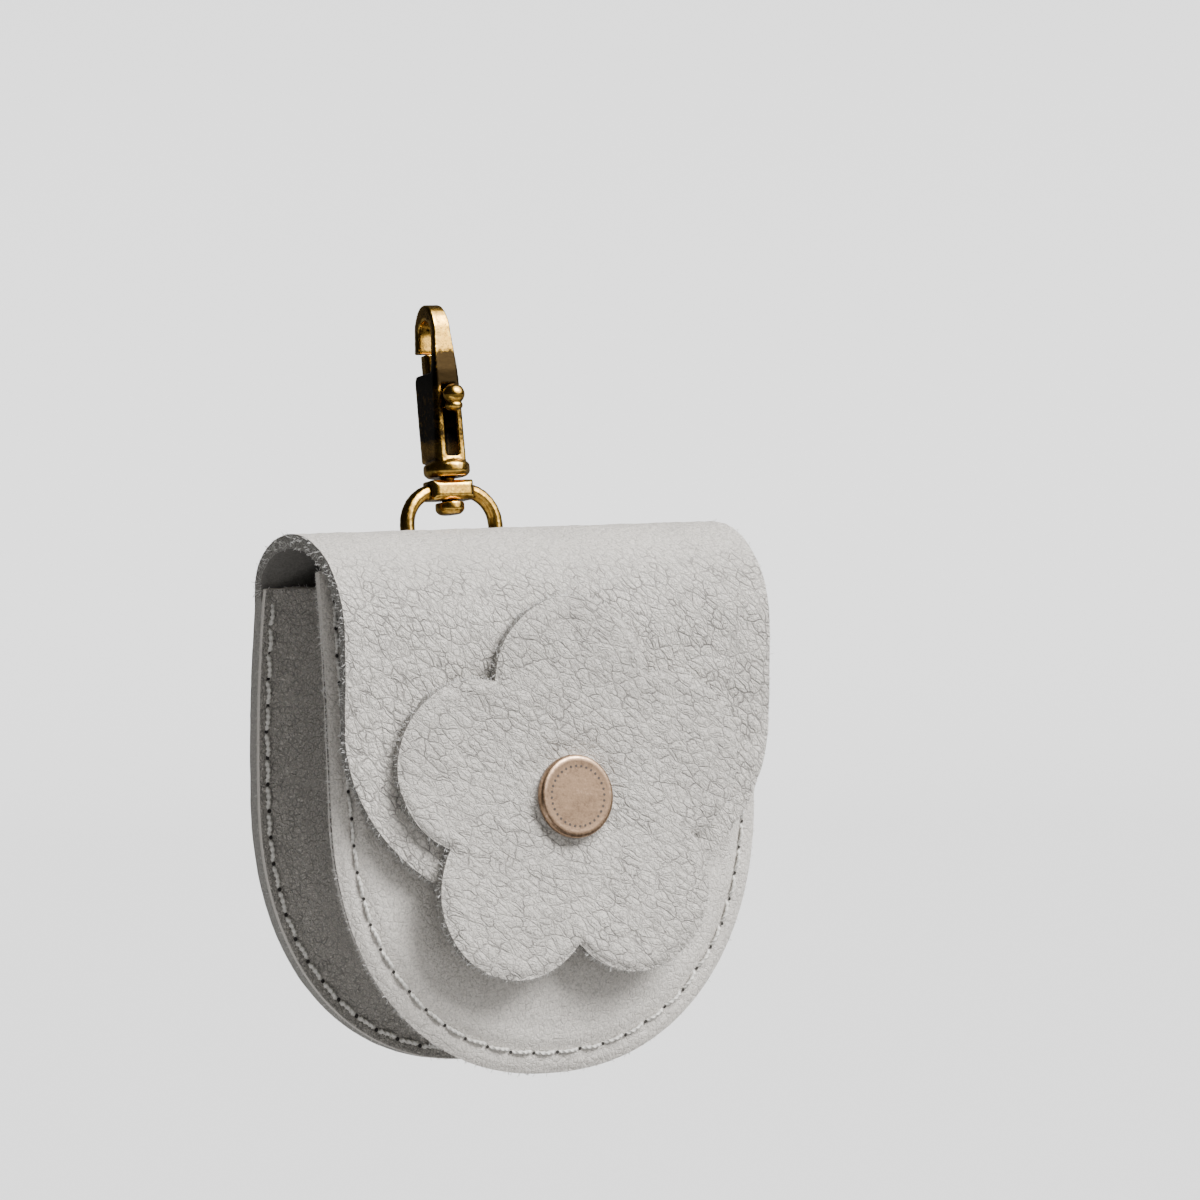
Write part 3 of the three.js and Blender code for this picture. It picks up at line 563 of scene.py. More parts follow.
x, q = sheet_net.arrays()
depth, drop = sheet_line(x, q)
ahead = sheet_line(x, q + 0.01)
behind = sheet_line(x, q - 0.01)
run = np.stack([ahead[0] - behind[0], ahead[1] - behind[1]])
run /= np.hypot(*run)
back_inset = outline_inset(x, q, BODY_STRAIGHT, BODY_CURVE, BODY_FULLNESS)
flap_inset = outline_inset(x, q, FLAP_STRAIGHT, FLAP_CURVE, FLAP_FULLNESS)
on_back = smoothstep(-q, ARCH_BACK, ARCH_BACK + 3)
on_flap = smoothstep(q, 0, ARCH_FRONT)
flap_roll = -0.3 * np.exp(-((np.maximum(flap_inset, 0) / 0.9) ** 2))
flap_wave = 0.16 * soft_noise(x, q, 13, 3) + 0.1 * soft_noise(x, q, 6, 4)
# Down the sheet q grows, so a positive lean runs down to the right
flap_wrinkle = creases(x, q, 41, 46, ((4, 14), (35, 40)), 0.6, 0.22, (3, 9), (0.1, 0.24), 0.42)
flap_wrinkle += creases(x, q, 42, 60, ((-35, 14), (20, 50)), 0.9, 0.3, (3, 8), (0.04, 0.12), 0.4)
relief = on_back * seam_relief(back_inset, BACK_SEAM)
relief += on_flap * (flap_roll + flap_wave + flap_wrinkle)
relief += 0.05 * soft_noise(x, q, 8, 5)
# Outwards is behind the back face and in front of the flap
depth_out = depth + relief * run[1]
drop_out = drop - relief * run[0]
back_and_flap = mesh_piece(
    "leather_back_and_flap", place(x, drop_out, depth_out), sheet_net.faces,
    [flap_grain, cut_edge, flesh_side],
)


def pebble_tree():
    """Raises an open sheet into low pebbles that match the creases of its grain."""
    tree, start, finish = node_group("pebble_relief", [
        ("Sheet", "mesh", None), ("Cell", "value", 3.0), ("Height", "value", 0.1),
        ("Wander", "value", 0.7), ("Stretch", "vector", (1, 1, 1)), ("Turn", "value", 0.0),
    ], [("Sheet", "mesh")], "GeometryNodeTree")
    w = Wiring(tree)
    in_mm = w.vector("SCALE", w.node("GeometryNodeInputPosition").outputs[0], 1000.0)
    bent = grain_cells(w, in_mm, start.outputs)
    big = w.node("ShaderNodeTexVoronoi", {"feature": "DISTANCE_TO_EDGE"}, Vector=bent, Scale=1.0)
    pillow = w.ramp(big.outputs["Distance"], 0.0, 0.4)
    amount = w.math("MULTIPLY", w.math("SUBTRACT", pillow, 0.6), start.outputs["Height"])
    normal = w.node("GeometryNodeInputNormal").outputs[0]
    offset = w.vector("SCALE", normal, w.math("MULTIPLY", amount, MM))
    moved = w.node("GeometryNodeSetPosition", Geometry=start.outputs["Sheet"], Offset=offset)
    tree.links.new(moved.outputs[0], finish.inputs["Sheet"])
    return tree


def set_inputs(modifier, **values):
    """Sets a Geometry Nodes modifier's inputs by their names."""
    for item in modifier.node_group.interface.items_tree:
        if item.item_type == "SOCKET" and item.in_out == "INPUT":
            key = item.name.replace(" ", "_")
            if key in values:
                modifier[item.identifier] = values[key]


PEBBLE_TREE = pebble_tree()


def pebble(piece, cell, height, stretch=(1.0, 1.0, 1.0), turn=0.0):
    relief_nodes = piece.modifiers.new("pebbles", "NODES")
    relief_nodes.node_group = PEBBLE_TREE
    set_inputs(relief_nodes, Cell=cell, Height=height, Wander=WANDER, Stretch=stretch,
               Turn=turn)


def fibre_tree():
    """Short loose fibres that stand out of the cut edges, which are a piece's second material."""
    tree, start, finish = node_group("edge_fibres", [
        ("Leather", "mesh", None), ("Density", "value", 2.5e6), ("Length", "value", 0.0007),
        ("Thickness", "value", 0.00003), ("Seed", "whole", 1), ("Fibre", "material", None),
    ], [("Leather", "mesh")], "GeometryNodeTree")
    w = Wiring(tree)
    index = w.node("GeometryNodeInputMaterialIndex").outputs[0]
    on_edge = w.node("FunctionNodeCompare", {"data_type": "INT", "operation": "EQUAL"})
    w.feed(on_edge, "#2", index)
    on_edge.inputs[3].default_value = 1
    points = w.node("GeometryNodeDistributePointsOnFaces", Mesh=start.outputs["Leather"],
                    Density=start.outputs["Density"], Seed=start.outputs["Seed"],
                    Selection=on_edge.outputs[0])
    bend = w.node("GeometryNodeCurveQuadraticBezier", Resolution=3, Start=(0, 0, -0.1),
                  Middle=(0.05, 0, 0.6), End=(0.55, 0.1, 0.9))
    thin = w.math("DIVIDE", start.outputs["Thickness"], start.outputs["Length"])
    ring = w.node("GeometryNodeCurvePrimitiveCircle", Resolution=3, Radius=thin)
    strand = w.node("GeometryNodeCurveToMesh", Curve=bend.outputs[0],
                    Profile_Curve=ring.outputs[0])
    lean = w.node("FunctionNodeRandomValue", {"data_type": "FLOAT_VECTOR"},
                  Min=(-0.9, -0.9, -3.14), Max=(0.9, 0.9, 3.14), Seed=start.outputs["Seed"])
    turned = w.node("FunctionNodeRotateRotation", {"rotation_space": "LOCAL"})
    w.feed(turned, "#0", points.outputs["Rotation"])
    w.feed(turned, "#1", lean.outputs[0])
    long = w.node("FunctionNodeRandomValue", {"data_type": "FLOAT"})
    long.inputs[2].default_value = 0.35
    long.inputs[3].default_value = 1.0
    w.feed(long, "Seed", start.outputs["Seed"])
    size = w.math("MULTIPLY", long.outputs[1], start.outputs["Length"])
    strands = w.node("GeometryNodeInstanceOnPoints", Points=points.outputs["Points"],
                     Instance=strand.outputs[0], Rotation=turned.outputs[0], Scale=size)
    real = w.node("GeometryNodeRealizeInstances", Geometry=strands.outputs[0])
    dressed = w.node("GeometryNodeSetMaterial", Geometry=real.outputs[0],
                     Material=start.outputs["Fibre"])
    both = w.node("GeometryNodeJoinGeometry")
    tree.links.new(start.outputs["Leather"], both.inputs[0])
    tree.links.new(dressed.outputs[0], both.inputs[0])
    tree.links.new(both.outputs[0], finish.inputs["Leather"])
    return tree


FIBRE_TREE = fibre_tree()
loose_fibre, w, shader = new_material("loose_leather_fibre")
shader.inputs["Base Color"].default_value = (0.7, 0.685, 0.66, 1)
shader.inputs["Roughness"].default_value = 0.9


def fuzz(piece, seed, density=3.0, length=0.7):
    """Adds loose fibres to a piece's cut edges, so many per square mm and up to a length in mm."""
    fibre_nodes = piece.modifiers.new("fuzz", "NODES")
    fibre_nodes.node_group = FIBRE_TREE
    set_inputs(fibre_nodes, Density=density * 1e6, Length=length * MM, Thickness=0.05 * MM,
               Seed=seed, Fibre=loose_fibre)
    apply_modifiers(piece)


def settle(piece, body, slot, *nodes):
    """Puts a finished piece on its CAD body, in place of its CAD nodes."""
    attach(piece, body)
    if nodes:
        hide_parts(*nodes)


point_out(back_and_flap, (0, 0, 1))
pebble(back_and_flap, FLAP_CELL, 0.1, FLAP_STRETCH, FLAP_TURN)
apply_modifiers(back_and_flap)
thicken(back_and_flap, LEATHER)
# The edge of the back is rubbed smooth with the seam, in a dark tone that is partly painted shade;
# the fold and flap are left raw
back_and_flap.data.materials.append(rubbed_edge)
for face in back_and_flap.data.polygons:
    low_on_back = face.center.y / MM > BACK_Y - 3 and face.center.z / MM < TOP_Z - 10
    if face.material_index == 1 and low_on_back:
        face.material_index = 3
fuzz(back_and_flap, 11)
settle(back_and_flap, "pouch", "panel_leather", "back_and_flap")


# Gusset. A strip of the same hide, 2 mm thick, wet moulded into a channel with its two
# flanges turned outwards, and sewn between the back and the front panel.
GUSSET_LEATHER = 2.0
PANEL_TOP = 5.5
GUSSET_TOP = 8.4
PANEL_DEPTH_TOP = 21.8
PANEL_DEPTH_LOW = 24.2
PANEL_EASE = 16.0
DOME = 2.0
DOME_REACH = 22.0
DOME_POWER = 2.2
FLANGE = 6.0
CHANNEL_ROUND = 2.4


def panel_depth(x, drop):
    """Depth of the front panel's outer face."""
    inset = outline_inset(x, drop, BODY_STRAIGHT, BODY_CURVE, BODY_FULLNESS)
    rise = 1 - (1 - np.minimum(inset, DOME_REACH) / DOME_REACH) ** DOME_POWER
    dome = DOME * smoothstep(drop, PANEL_TOP, FLAP_STRAIGHT)
    short = (PANEL_DEPTH_LOW - PANEL_DEPTH_TOP) * np.exp((PANEL_TOP - drop) / PANEL_EASE)
    return PANEL_DEPTH_LOW - short + dome * rise


def around_edge(top, step, rays):
    """Stations down the left side, round the bottom and up the right: (side, drop, angle)."""
    sides = spread(top, BODY_STRAIGHT, step)
    left = [(-1, drop, math.pi) for drop in sides]
    curve = [(0, BODY_STRAIGHT, math.pi * (1 - i / rays)) for i in range(1, rays)]
    return left + curve + [(1, drop, 0.0) for drop in reversed(sides)]


def edge_point(station, inset):
    side, drop, angle = station
    share = 1 - inset / HALF_WIDTH
    if side:
        return side * share * HALF_WIDTH, drop
    across, down = end_point(angle, BODY_FULLNESS)
    return share * HALF_WIDTH * across, BODY_STRAIGHT + share * BODY_CURVE * down


back_seat = LEATHER + GAP + GUSSET_LEATHER
FRONT_SEAM_LOW = 2.8
FRONT_SEAM_HIGH = 1.8
PARED = 1.1
section = [(i, "rear", 0.0) for i in np.linspace(0.15, FLANGE - CHANNEL_ROUND, 12)]
for bend in np.linspace(0, math.pi / 2, 7)[1:]:
    inset = FLANGE - CHANNEL_ROUND + CHANNEL_ROUND * math.sin(bend)
    section.append((inset, "rear", CHANNEL_ROUND * (1 - math.cos(bend))))
for part in np.linspace(0, 1, 17)[1:-1]:
    section.append((FLANGE, "wall", part))
for bend in np.linspace(math.pi / 2, 0, 7):
    inset = FLANGE - CHANNEL_ROUND + CHANNEL_ROUND * math.sin(bend)
    section.append((inset, "front", -CHANNEL_ROUND * (1 - math.cos(bend))))
section += [(i, "front", 0.0) for i in np.linspace(FLANGE - CHANNEL_ROUND, 0.8, 12)[1:]]


def front_seam(drop):
    """Distance of the front seam from the edge, which grows towards the foot of the pouch."""
    low = smoothstep(drop, 26, 46)
    return FRONT_SEAM_HIGH + (FRONT_SEAM_LOW - FRONT_SEAM_HIGH) * low


def pared_away(inset, part):
    """What is pared off a flange towards its edge, in mm."""
    return 0.0 if part == "wall" else PARED * (1 - float(smoothstep(inset, 1.6, 5.4)))


gusset_points = []
gusset_shares = []
gusset_stations = around_edge(GUSSET_TOP, 0.9, 170)
walked = 0.0
last = None
for station in gusset_stations:
    here = np.array(edge_point(station, FLANGE))
    walked += 0.0 if last is None else float(np.hypot(*(here - last)))
    last = here
    for inset, part, value in section:
        x, drop = edge_point(station, inset)
        rear_seat = float(back_depth(x, drop)) + back_seat
        front_seat = float(panel_depth(x, drop)) - LEATHER - GAP - GUSSET_LEATHER
        pared = pared_away(inset, part)
        gusset_shares.append(1 - pared / GUSSET_LEATHER)
        if part == "rear":
            press = SEAM_GROOVE * math.exp(-(((inset - BACK_SEAM) / 0.8) ** 2))
            depth = rear_seat + value - pared - press
        elif part == "front":
            press = SEAM_GROOVE * math.exp(-(((inset - front_seam(drop)) / 0.8) ** 2))
            depth = front_seat + value + pared + press
        else:
            low_end = rear_seat + CHANNEL_ROUND
            depth = low_end + value * (front_seat - CHANNEL_ROUND - low_end)
        sag = 0.0
        if part == "wall":
            middle = math.sin(math.pi * value)
            crumple = math.sin(walked / 1.9 + 2.2 * math.sin(walked / 9) + 3 * value)
            sag = middle * (0.35 + 0.1 * crumple * math.sin(walked / 5.3))
        x, drop = edge_point(station, inset + sag)
        gusset_points.append(place(x, drop, depth))
across = len(section)
gusset_faces = []
for i in range(len(gusset_stations) - 1):
    for j in range(across - 1):
        first = i * across + j
        gusset_faces.append([first, first + 1, first + across + 1, first + across])
gusset_grain = grain_leather(
    "gusset_leather", HIDE_TONE, 0.9, 0.4, crease_width=0.13, fine=0.6, crease_dark=0.8)
gusset = mesh_piece(
    "leather_gusset", np.array(gusset_points), gusset_faces,
    [gusset_grain, smooth_edge, flesh_side])
point_out(gusset, (0, 0, -1))
thicken(gusset, GUSSET_LEATHER, shares=gusset_shares)
fuzz(gusset, 12, 1.6, 0.6)
settle(gusset, "pouch", "panel_leather", "gusset")


# Front panel. The same hide, 2.2 mm thick, moulded into a low dome with a pressed margin. It
# is sewn to the gusset's front flange, and its top edge lies hidden under the flap.
panel_net = Net()
panel_net.rows(spread(PANEL_TOP, BODY_STRAIGHT, 0.9), SHARES)
panel_net.end(BODY_STRAIGHT, BODY_CURVE, BODY_RAYS, SHARES, BODY_FULLNESS)
x, drop = panel_net.arrays()
inset = outline_inset(x, drop, BODY_STRAIGHT, BODY_CURVE, BODY_FULLNESS)
relief = 0.1 * soft_noise(x, drop, 10, 21) + 0.05 * soft_noise(x, drop, 5, 22)
relief = seam_relief(inset, front_seam(drop)) + smoothstep(inset, 3, 7) * relief
panel_grain = grain_leather(
    "front_panel_leather", HIDE_TONE, 1.2, 0.1, crease_width=0.11, fine=0.5, crease_dark=0.3)
front_panel = mesh_piece(
    "leather_front_panel", place(x, drop, panel_depth(x, drop) + relief), panel_net.faces,
    [panel_grain, smooth_edge, flesh_side])
point_out(front_panel, (0, -1, 0))
pebble(front_panel, 1.3, 0.03)
apply_modifiers(front_panel)
thicken(front_panel, LEATHER, rounding=0.95, segments=4)
fuzz(front_panel, 13)
settle(front_panel, "pouch", "panel_leather", "front_panel")


# Seams. Waxed twisted thread, sewn by hand in a row of round awl holes 4 mm apart, thinner
# through the front panel and a flange, thicker through the back and a flange.
STITCH_PITCH = 4.0
STITCH_LENGTH = 3.1
FRONT_THREAD = 0.68
BACK_THREAD = 0.82
STITCH_RISE = 0.58
THREAD_TWIST = 15.0
STEP = 0.5


def stitch_tree():
    """A twisted stitch at each point, along and out of the leather, with a near-black disc beside it
    as painted shadow in its awl hole.
    """
    tree, start, finish = node_group("stitches", [
        ("Points", "mesh", None), ("Length", "value", 3.1), ("Thickness", "value", 0.7),
        ("Pitch", "value", 4.0), ("Rise", "value", 0.5), ("Twist", "value", 9.0),
        ("Thread", "material", None), ("Hole", "material", None),
    ], [("Thread", "mesh")], "GeometryNodeTree")
    w = Wiring(tree)
    half = w.math("MULTIPLY", start.outputs["Length"], 0.5)
    line = w.node("GeometryNodeCurvePrimitiveBezierSegment")
    line.inputs["Resolution"].default_value = 16
    rise = start.outputs["Rise"]
    sink = w.math("MULTIPLY", start.outputs["Thickness"], -0.45)
    for label, side, reach, lift in (
        ("Start", -1, 1.0, sink), ("Start Handle", -1, 0.86, rise),
        ("End Handle", 1, 0.86, rise), ("End", 1, 1.0, sink),
    ):
        point = w.node("ShaderNodeCombineXYZ", X=w.math("MULTIPLY", half, side * reach), Z=lift)
        w.feed(line, label, point.outputs[0])
    along = w.node("GeometryNodeSplineParameter").outputs["Factor"]
    twisted = w.node("GeometryNodeSetCurveTilt", Curve=line.outputs[0],
                     Tilt=w.math("MULTIPLY", along, start.outputs["Twist"]))
    ring = w.node("GeometryNodeCurvePrimitiveCircle", Resolution=6,
                  Radius=w.math("MULTIPLY", start.outputs["Thickness"], 0.5))
    oval = w.node("GeometryNodeTransform", Geometry=ring.outputs[0], Scale=(1.15, 0.6, 1))
    stitch = w.node("GeometryNodeCurveToMesh", Curve=twisted.outputs[0],
                    Profile_Curve=oval.outputs[0], Fill_Caps=True)
    dressed = w.node("GeometryNodeSetMaterial", Geometry=stitch.outputs[0],
                     Material=start.outputs["Thread"])
    # Painted shadow: a flat near-black disc just above the leather stands for the dark inside of the
    # awl hole
    hole_shadow_disc = w.node("GeometryNodeMeshCircle", {"fill_type": "TRIANGLE_FAN"}, Vertices=10,
                        Radius=w.math("MULTIPLY", start.outputs["Thickness"], 0.4))
    beside = w.node("ShaderNodeCombineXYZ", X=w.math("MULTIPLY", start.outputs["Pitch"], -0.5),
                    Z=0.14)
    moved = w.node("GeometryNodeTransform", Geometry=hole_shadow_disc.outputs[0],
                   Translation=beside.outputs[0])
    dark = w.node("GeometryNodeSetMaterial", Geometry=moved.outputs[0],
                  Material=start.outputs["Hole"])
    both = w.node("GeometryNodeJoinGeometry")
    tree.links.new(dressed.outputs[0], both.inputs[0])
    tree.links.new(dark.outputs[0], both.inputs[0])
    axes = w.node("FunctionNodeAxesToRotation", {"primary_axis": "Z", "secondary_axis": "X"})
    for socket, label in (("#0", "out"), ("#1", "along")):
        w.feed(axes, socket, w.node(
            "GeometryNodeInputNamedAttribute", {"data_type": "FLOAT_VECTOR"},
            Name=label).outputs[0])
    wobble = w.node("FunctionNodeRandomValue", {"data_type": "FLOAT_VECTOR"},
                    Min=(-0.12, -0.05, -0.1), Max=(0.12, 0.05, 0.1))
    turned = w.node("FunctionNodeRotateRotation", {"rotation_space": "LOCAL"})
    w.feed(turned, "#0", axes.outputs[0])
    w.feed(turned, "#1", wobble.outputs[0])
    row = w.node("GeometryNodeInstanceOnPoints", Points=start.outputs["Points"],
                 Instance=both.outputs[0], Rotation=turned.outputs[0], Scale=(MM, MM, MM))
    real = w.node("GeometryNodeRealizeInstances", Geometry=row.outputs[0])
    tree.links.new(real.outputs[0], finish.inputs["Thread"])
    return tree


STITCH_TREE = stitch_tree()
thread, w, shader = new_material("waxed_thread")
fibres = use_group(w, FIBRES, Size=0.3)
w.feed(shader, "Base Color", w.mix(fibres.outputs["Tone"], (0.5, 0.48, 0.44, 1),
                                   (0.8, 0.78, 0.73, 1)))
shader.inputs["Roughness"].default_value = 0.6
w.bump(shader, fibres.outputs["Height"], 0.06)
# Painted shadow for the awl holes, near black and matt
awl_hole, w, shader = new_material("awl_hole")
shader.inputs["Base Color"].default_value = (0.025, 0.022, 0.02, 1)
shader.inputs["Roughness"].default_value = 1.0


def stitch_row(name, points, outwards, thickness):
    """Stitches along a line of points in mm, with the outward direction at each of them."""
    points = np.asarray(points, dtype=float)
    outwards = np.asarray(outwards, dtype=float)
    steps = np.linalg.norm(np.diff(points, axis=0), axis=1)
    walked = np.concatenate([[0], np.cumsum(steps)])
    count = int(round(walked[-1] / STITCH_PITCH))
    at = (np.arange(count) + 0.5) * walked[-1] / count

    def on_line(values, places):
        return np.stack([np.interp(places, walked, values[:, k]) for k in range(3)], axis=1)

    run = on_line(points, at + STEP) - on_line(points, at - STEP)
    row = mesh_piece(name, on_line(points, at), [], [])
    for label, values in (("along", run), ("out", on_line(outwards, at))):
        attribute = row.data.attributes.new(label, "FLOAT_VECTOR", "POINT")
        attribute.data.foreach_set("vector", values.ravel())
    sewing = row.modifiers.new("stitches", "NODES")
    sewing.node_group = STITCH_TREE
    set_inputs(sewing, Length=STITCH_LENGTH, Thickness=thickness, Pitch=STITCH_PITCH,
               Rise=STITCH_RISE, Twist=THREAD_TWIST, Thread=thread, Hole=awl_hole)
    apply_modifiers(row)
    row.data.shade_smooth()
    settle(row, "pouch", "panel_leather")


def panel_normal(x, drop):
    step = 0.2
    across = (panel_depth(x + step, drop) - panel_depth(x - step, drop)) / (2 * step)
    down = (panel_depth(x, drop + step) - panel_depth(x, drop - step)) / (2 * step)
    direction = np.array([-across, -1.0, down])
    return direction / np.linalg.norm(direction)


seam_stations = around_edge(GUSSET_TOP + 1.6, 1.0, 90)
seam_insets = [float(front_seam(edge_point(station, 0)[1])) for station in seam_stations]
seam_places = [edge_point(station, inset) for station, inset in zip(seam_stations, seam_insets)]
back_places = [edge_point(station, BACK_SEAM) for station in seam_stations]
normals = [panel_normal(x, drop) for x, drop in seam_places]
lift = SEAM_GROOVE - 0.12
front_face = [place(x, drop, panel_depth(x, drop)) + lift * -n
              for (x, drop), n in zip(seam_places, normals)]
back_pared = pared_away(BACK_SEAM, "rear")
behind = [LEATHER + GAP + GUSSET_LEATHER - lift - pared_away(inset, "front")
          for inset in seam_insets]
flange_rear = [place(x, drop, panel_depth(x, drop)) - far * n
               for (x, drop), n, far in zip(seam_places, normals, behind)]
flange_front = [place(x, drop, back_depth(x, drop) + back_seat - lift - back_pared)
                for x, drop in back_places]
back_face = [place(x, drop, back_depth(x, drop) + lift) for x, drop in back_places]
forward = [np.array([0.0, -1.0, 0.0])] * len(seam_places)
stitch_row("stitches_front", front_face, normals, FRONT_THREAD)
stitch_row("stitches_front_inside", flange_rear, [-n for n in normals], FRONT_THREAD)
stitch_row("stitches_back_inside", flange_front, forward, BACK_THREAD)
stitch_row("stitches_back", back_face, [-n for n in forward], BACK_THREAD)


# Flower. Five petals cut from one piece of the same hide, more deeply pebbled, held
# loosely on the flap by the snap alone, whose cap pulls fine creases out of its middle.
PETALS = 5
PETAL_RADIUS = 12.9
PETAL_OFFSET = 17.1
FLOWER_LEATHER = 2.2
FLAP_LENGTH = FLAP_STRAIGHT + FLAP_CURVE
PETAL_RAYS = 72
FLOWER_CELL = 1.45
FLOWER_STRETCH = (0.5, 1.0, 1.0)
FLOWER_TURN = math.radians(-35)
CAP_DIAMETER = 12.5
CAP_TILT = math.radians(5)
CAP_SINK = 0.1
flower_grain = grain_leather(
    "flower_leather", tuple(c * 0.965 for c in HIDE_TONE), FLOWER_CELL, 0.28,
    crease_width=0.075, fine=0.45, stretch=FLOWER_STRETCH, turn=FLOWER_TURN,
    crease_dark=0.8, patchy=0.35)


def petal_edge(angle):
    """Distance from the flower's middle to its edge, at an angle from upright."""
    pace = 2 * math.pi / PETALS
    off = np.abs((angle + pace / 2) % pace - pace / 2)
    reach = PETAL_RADIUS ** 2 - (PETAL_OFFSET * np.sin(off)) ** 2
    return PETAL_OFFSET * np.cos(off) + np.sqrt(np.maximum(reach, 0))


def flower_depth(drop):
    """Depth of the flap's outer face under the flower, carried on past the flap's end."""
    slope = (flap_depth(FLAP_LENGTH) - flap_depth(FLAP_LENGTH - 0.1)) / 0.1
    past = flap_depth(FLAP_LENGTH) + slope * 0.3 * (drop - FLAP_LENGTH)
    return np.where(drop > FLAP_LENGTH, past, np.where(drop < ARCH_FRONT, FLAP_DEPTH,
                                                       flap_depth(drop)))


cap_radius = CAP_DIAMETER / 2
cap_seat = float(flower_depth(SNAP_DROP)) + GAP + FLOWER_LEATHER + CAP_SINK
shares = np.concatenate([np.linspace(0, 0.95, 46), [0.965, 0.98, 0.99, 1.0]])
count = PETALS * PETAL_RAYS
angles = 2 * math.pi * np.arange(count) / count
edge = petal_edge(angles)
reach = np.outer(shares[1:], edge)
x = np.concatenate([[0], (reach * np.sin(angles)).ravel()])
away = np.concatenate([[0], (reach * np.cos(angles)).ravel()])
radius = np.hypot(x, away)
share = np.concatenate([[0], np.repeat(shares[1:], count)])
edge_all = np.concatenate([[edge[0]], np.tile(edge, len(shares) - 1)])
angle_all = np.concatenate([[0], np.tile(angles, len(shares) - 1)])
drop = SNAP_DROP - away
inset = (1 - share) * edge_all
roll = -0.42 * np.exp(-((inset / 0.95) ** 2)) + 0.12 * np.exp(-(((inset - 2.4) / 1.4) ** 2))
random = np.random.default_rng(33)
folds = np.zeros_like(x)
for _ in range(105):
    at = random.uniform(-math.pi, math.pi)
    # Above the cap and to its lower right the creases are longer
    favour = max(0.0, math.cos(at)) ** 2 + 0.8 * max(0.0, math.cos(at - 2.3)) ** 2
    first = random.uniform(5.6, 7.2)
    reach_out = random.uniform(1.5, 3.5) + favour * random.uniform(1.0, 6.5)
    bend = random.uniform(-0.02, 0.02)
    off = (angle_all - at - bend * (radius - 6) + math.pi) % (2 * math.pi) - math.pi
    window = smoothstep(radius, first - 0.8, first) * smoothstep(-radius, -first - reach_out, -first)
    folds -= random.uniform(0.05, 0.15) * window * np.exp(-((off * radius / 0.24) ** 2))
pull = -0.4 * np.exp(-(((radius - cap_radius - 0.7) / 1.8) ** 2))
wave = 0.14 * soft_noise(x, away, 12, 31) + 0.1 * soft_noise(x, away, 6, 32)
relief = roll + pull + folds + wave
depth = flower_depth(drop) + GAP + FLOWER_LEATHER + relief
under_cap = 1 - smoothstep(radius, cap_radius - 0.35, cap_radius + 0.5)
depth += under_cap * (cap_seat - math.tan(CAP_TILT) * away - 0.03 - depth)
flower_faces = []
for i in range(count):
    after = (i + 1) % count
    flower_faces.append([0, 1 + i, 1 + after])
    for k in range(len(shares) - 2):
        near = 1 + k * count
        far = near + count
        flower_faces.append([near + i, far + i, far + after, near + after])
flower = mesh_piece(
    "leather_flower", place(x, drop, depth), flower_faces, [flower_grain, cut_edge, flesh_side])
point_out(flower, (0, -1, 0))
pebble(flower, FLOWER_CELL, 0.09, FLOWER_STRETCH, FLOWER_TURN)
apply_modifiers(flower)
thicken(flower, FLOWER_LEATHER)
fuzz(flower, 14)
settle(flower, "pouch", "flower_leather", "flower")


# Snap cap. A drawn copper cap with a satin face, a rolled rim and a ring of small dark
# dots, browned with age. Its post goes down through the leathers.
CAP_HEIGHT = 1.4


BAND_SOFTNESS = 0.8
DARK_BAND_PATINA_AND_REFLECTION = -0.95
RAILS_PATINA_AND_REFLECTION = -0.55


def height_band(w, height, band):
    """One between two heights in mm and nought beyond them, with soft ends."""
    above = w.ramp(height, (band[0] - BAND_SOFTNESS) * MM, (band[0] + BAND_SOFTNESS) * MM)
    below = w.ramp(height, (band[1] + BAND_SOFTNESS) * MM, (band[1] - BAND_SOFTNESS) * MM)
    return w.math("MULTIPLY", above, below)


def metal_material(name, bright, worn, dark, rough, patina_z=(0.0, -1.0), rails_z=(0.0, 0.0)):
    """Antique plating: dark in the hollows, worn bright on what stands out.

    Between the two heights of the first band, in mm, the plating is browner and darker, partly kept
    patina and partly painted dark reflection, and a little more so between those of rails_z.
    """
    material, w, shader = new_material(name)
    coordinates = w.node("ShaderNodeTexCoord").outputs["Object"]
    wear = w.node("ShaderNodeAttribute", {"attribute_name": "wear"}).outputs["Fac"]
    blotch = w.noise(coordinates, 420.0, 4.0, 0.6).outputs["Fac"]
    speck = w.noise(coordinates, 1900.0, 3.0, 0.7).outputs["Fac"]
    level = w.math("MULTIPLY_ADD", w.math("SUBTRACT", blotch, 0.5), 0.9, wear)
    level = w.math("MULTIPLY_ADD", w.math("SUBTRACT", speck, 0.5), 1.5, level)
    # Painted dark reflection with patina: the plating darkens between two heights of the hook, and a
    # little on the rails
    if patina_z[0] < patina_z[1]:
        height = w.node("ShaderNodeSeparateXYZ", Vector=coordinates).outputs["Z"]
        level = w.math("MULTIPLY_ADD", height_band(w, height, patina_z), DARK_BAND_PATINA_AND_REFLECTION, level)
        level = w.math("MULTIPLY_ADD", height_band(w, height, rails_z), RAILS_PATINA_AND_REFLECTION, level)
    low = w.mix(w.ramp(level, -0.55, 0.15), dark + (1,), worn + (1,))
    w.feed(shader, "Base Color", w.mix(w.ramp(level, 0.1, 0.75), low, bright + (1,)))
    shader.inputs["Metallic"].default_value = 1.0
    w.feed(shader, "Roughness", w.ramp(level, -0.4, 0.6, rough + 0.12, rough))
    w.bump(shader, w.math("MULTIPLY_ADD", speck, 0.5, blotch), 0.03)
    return material


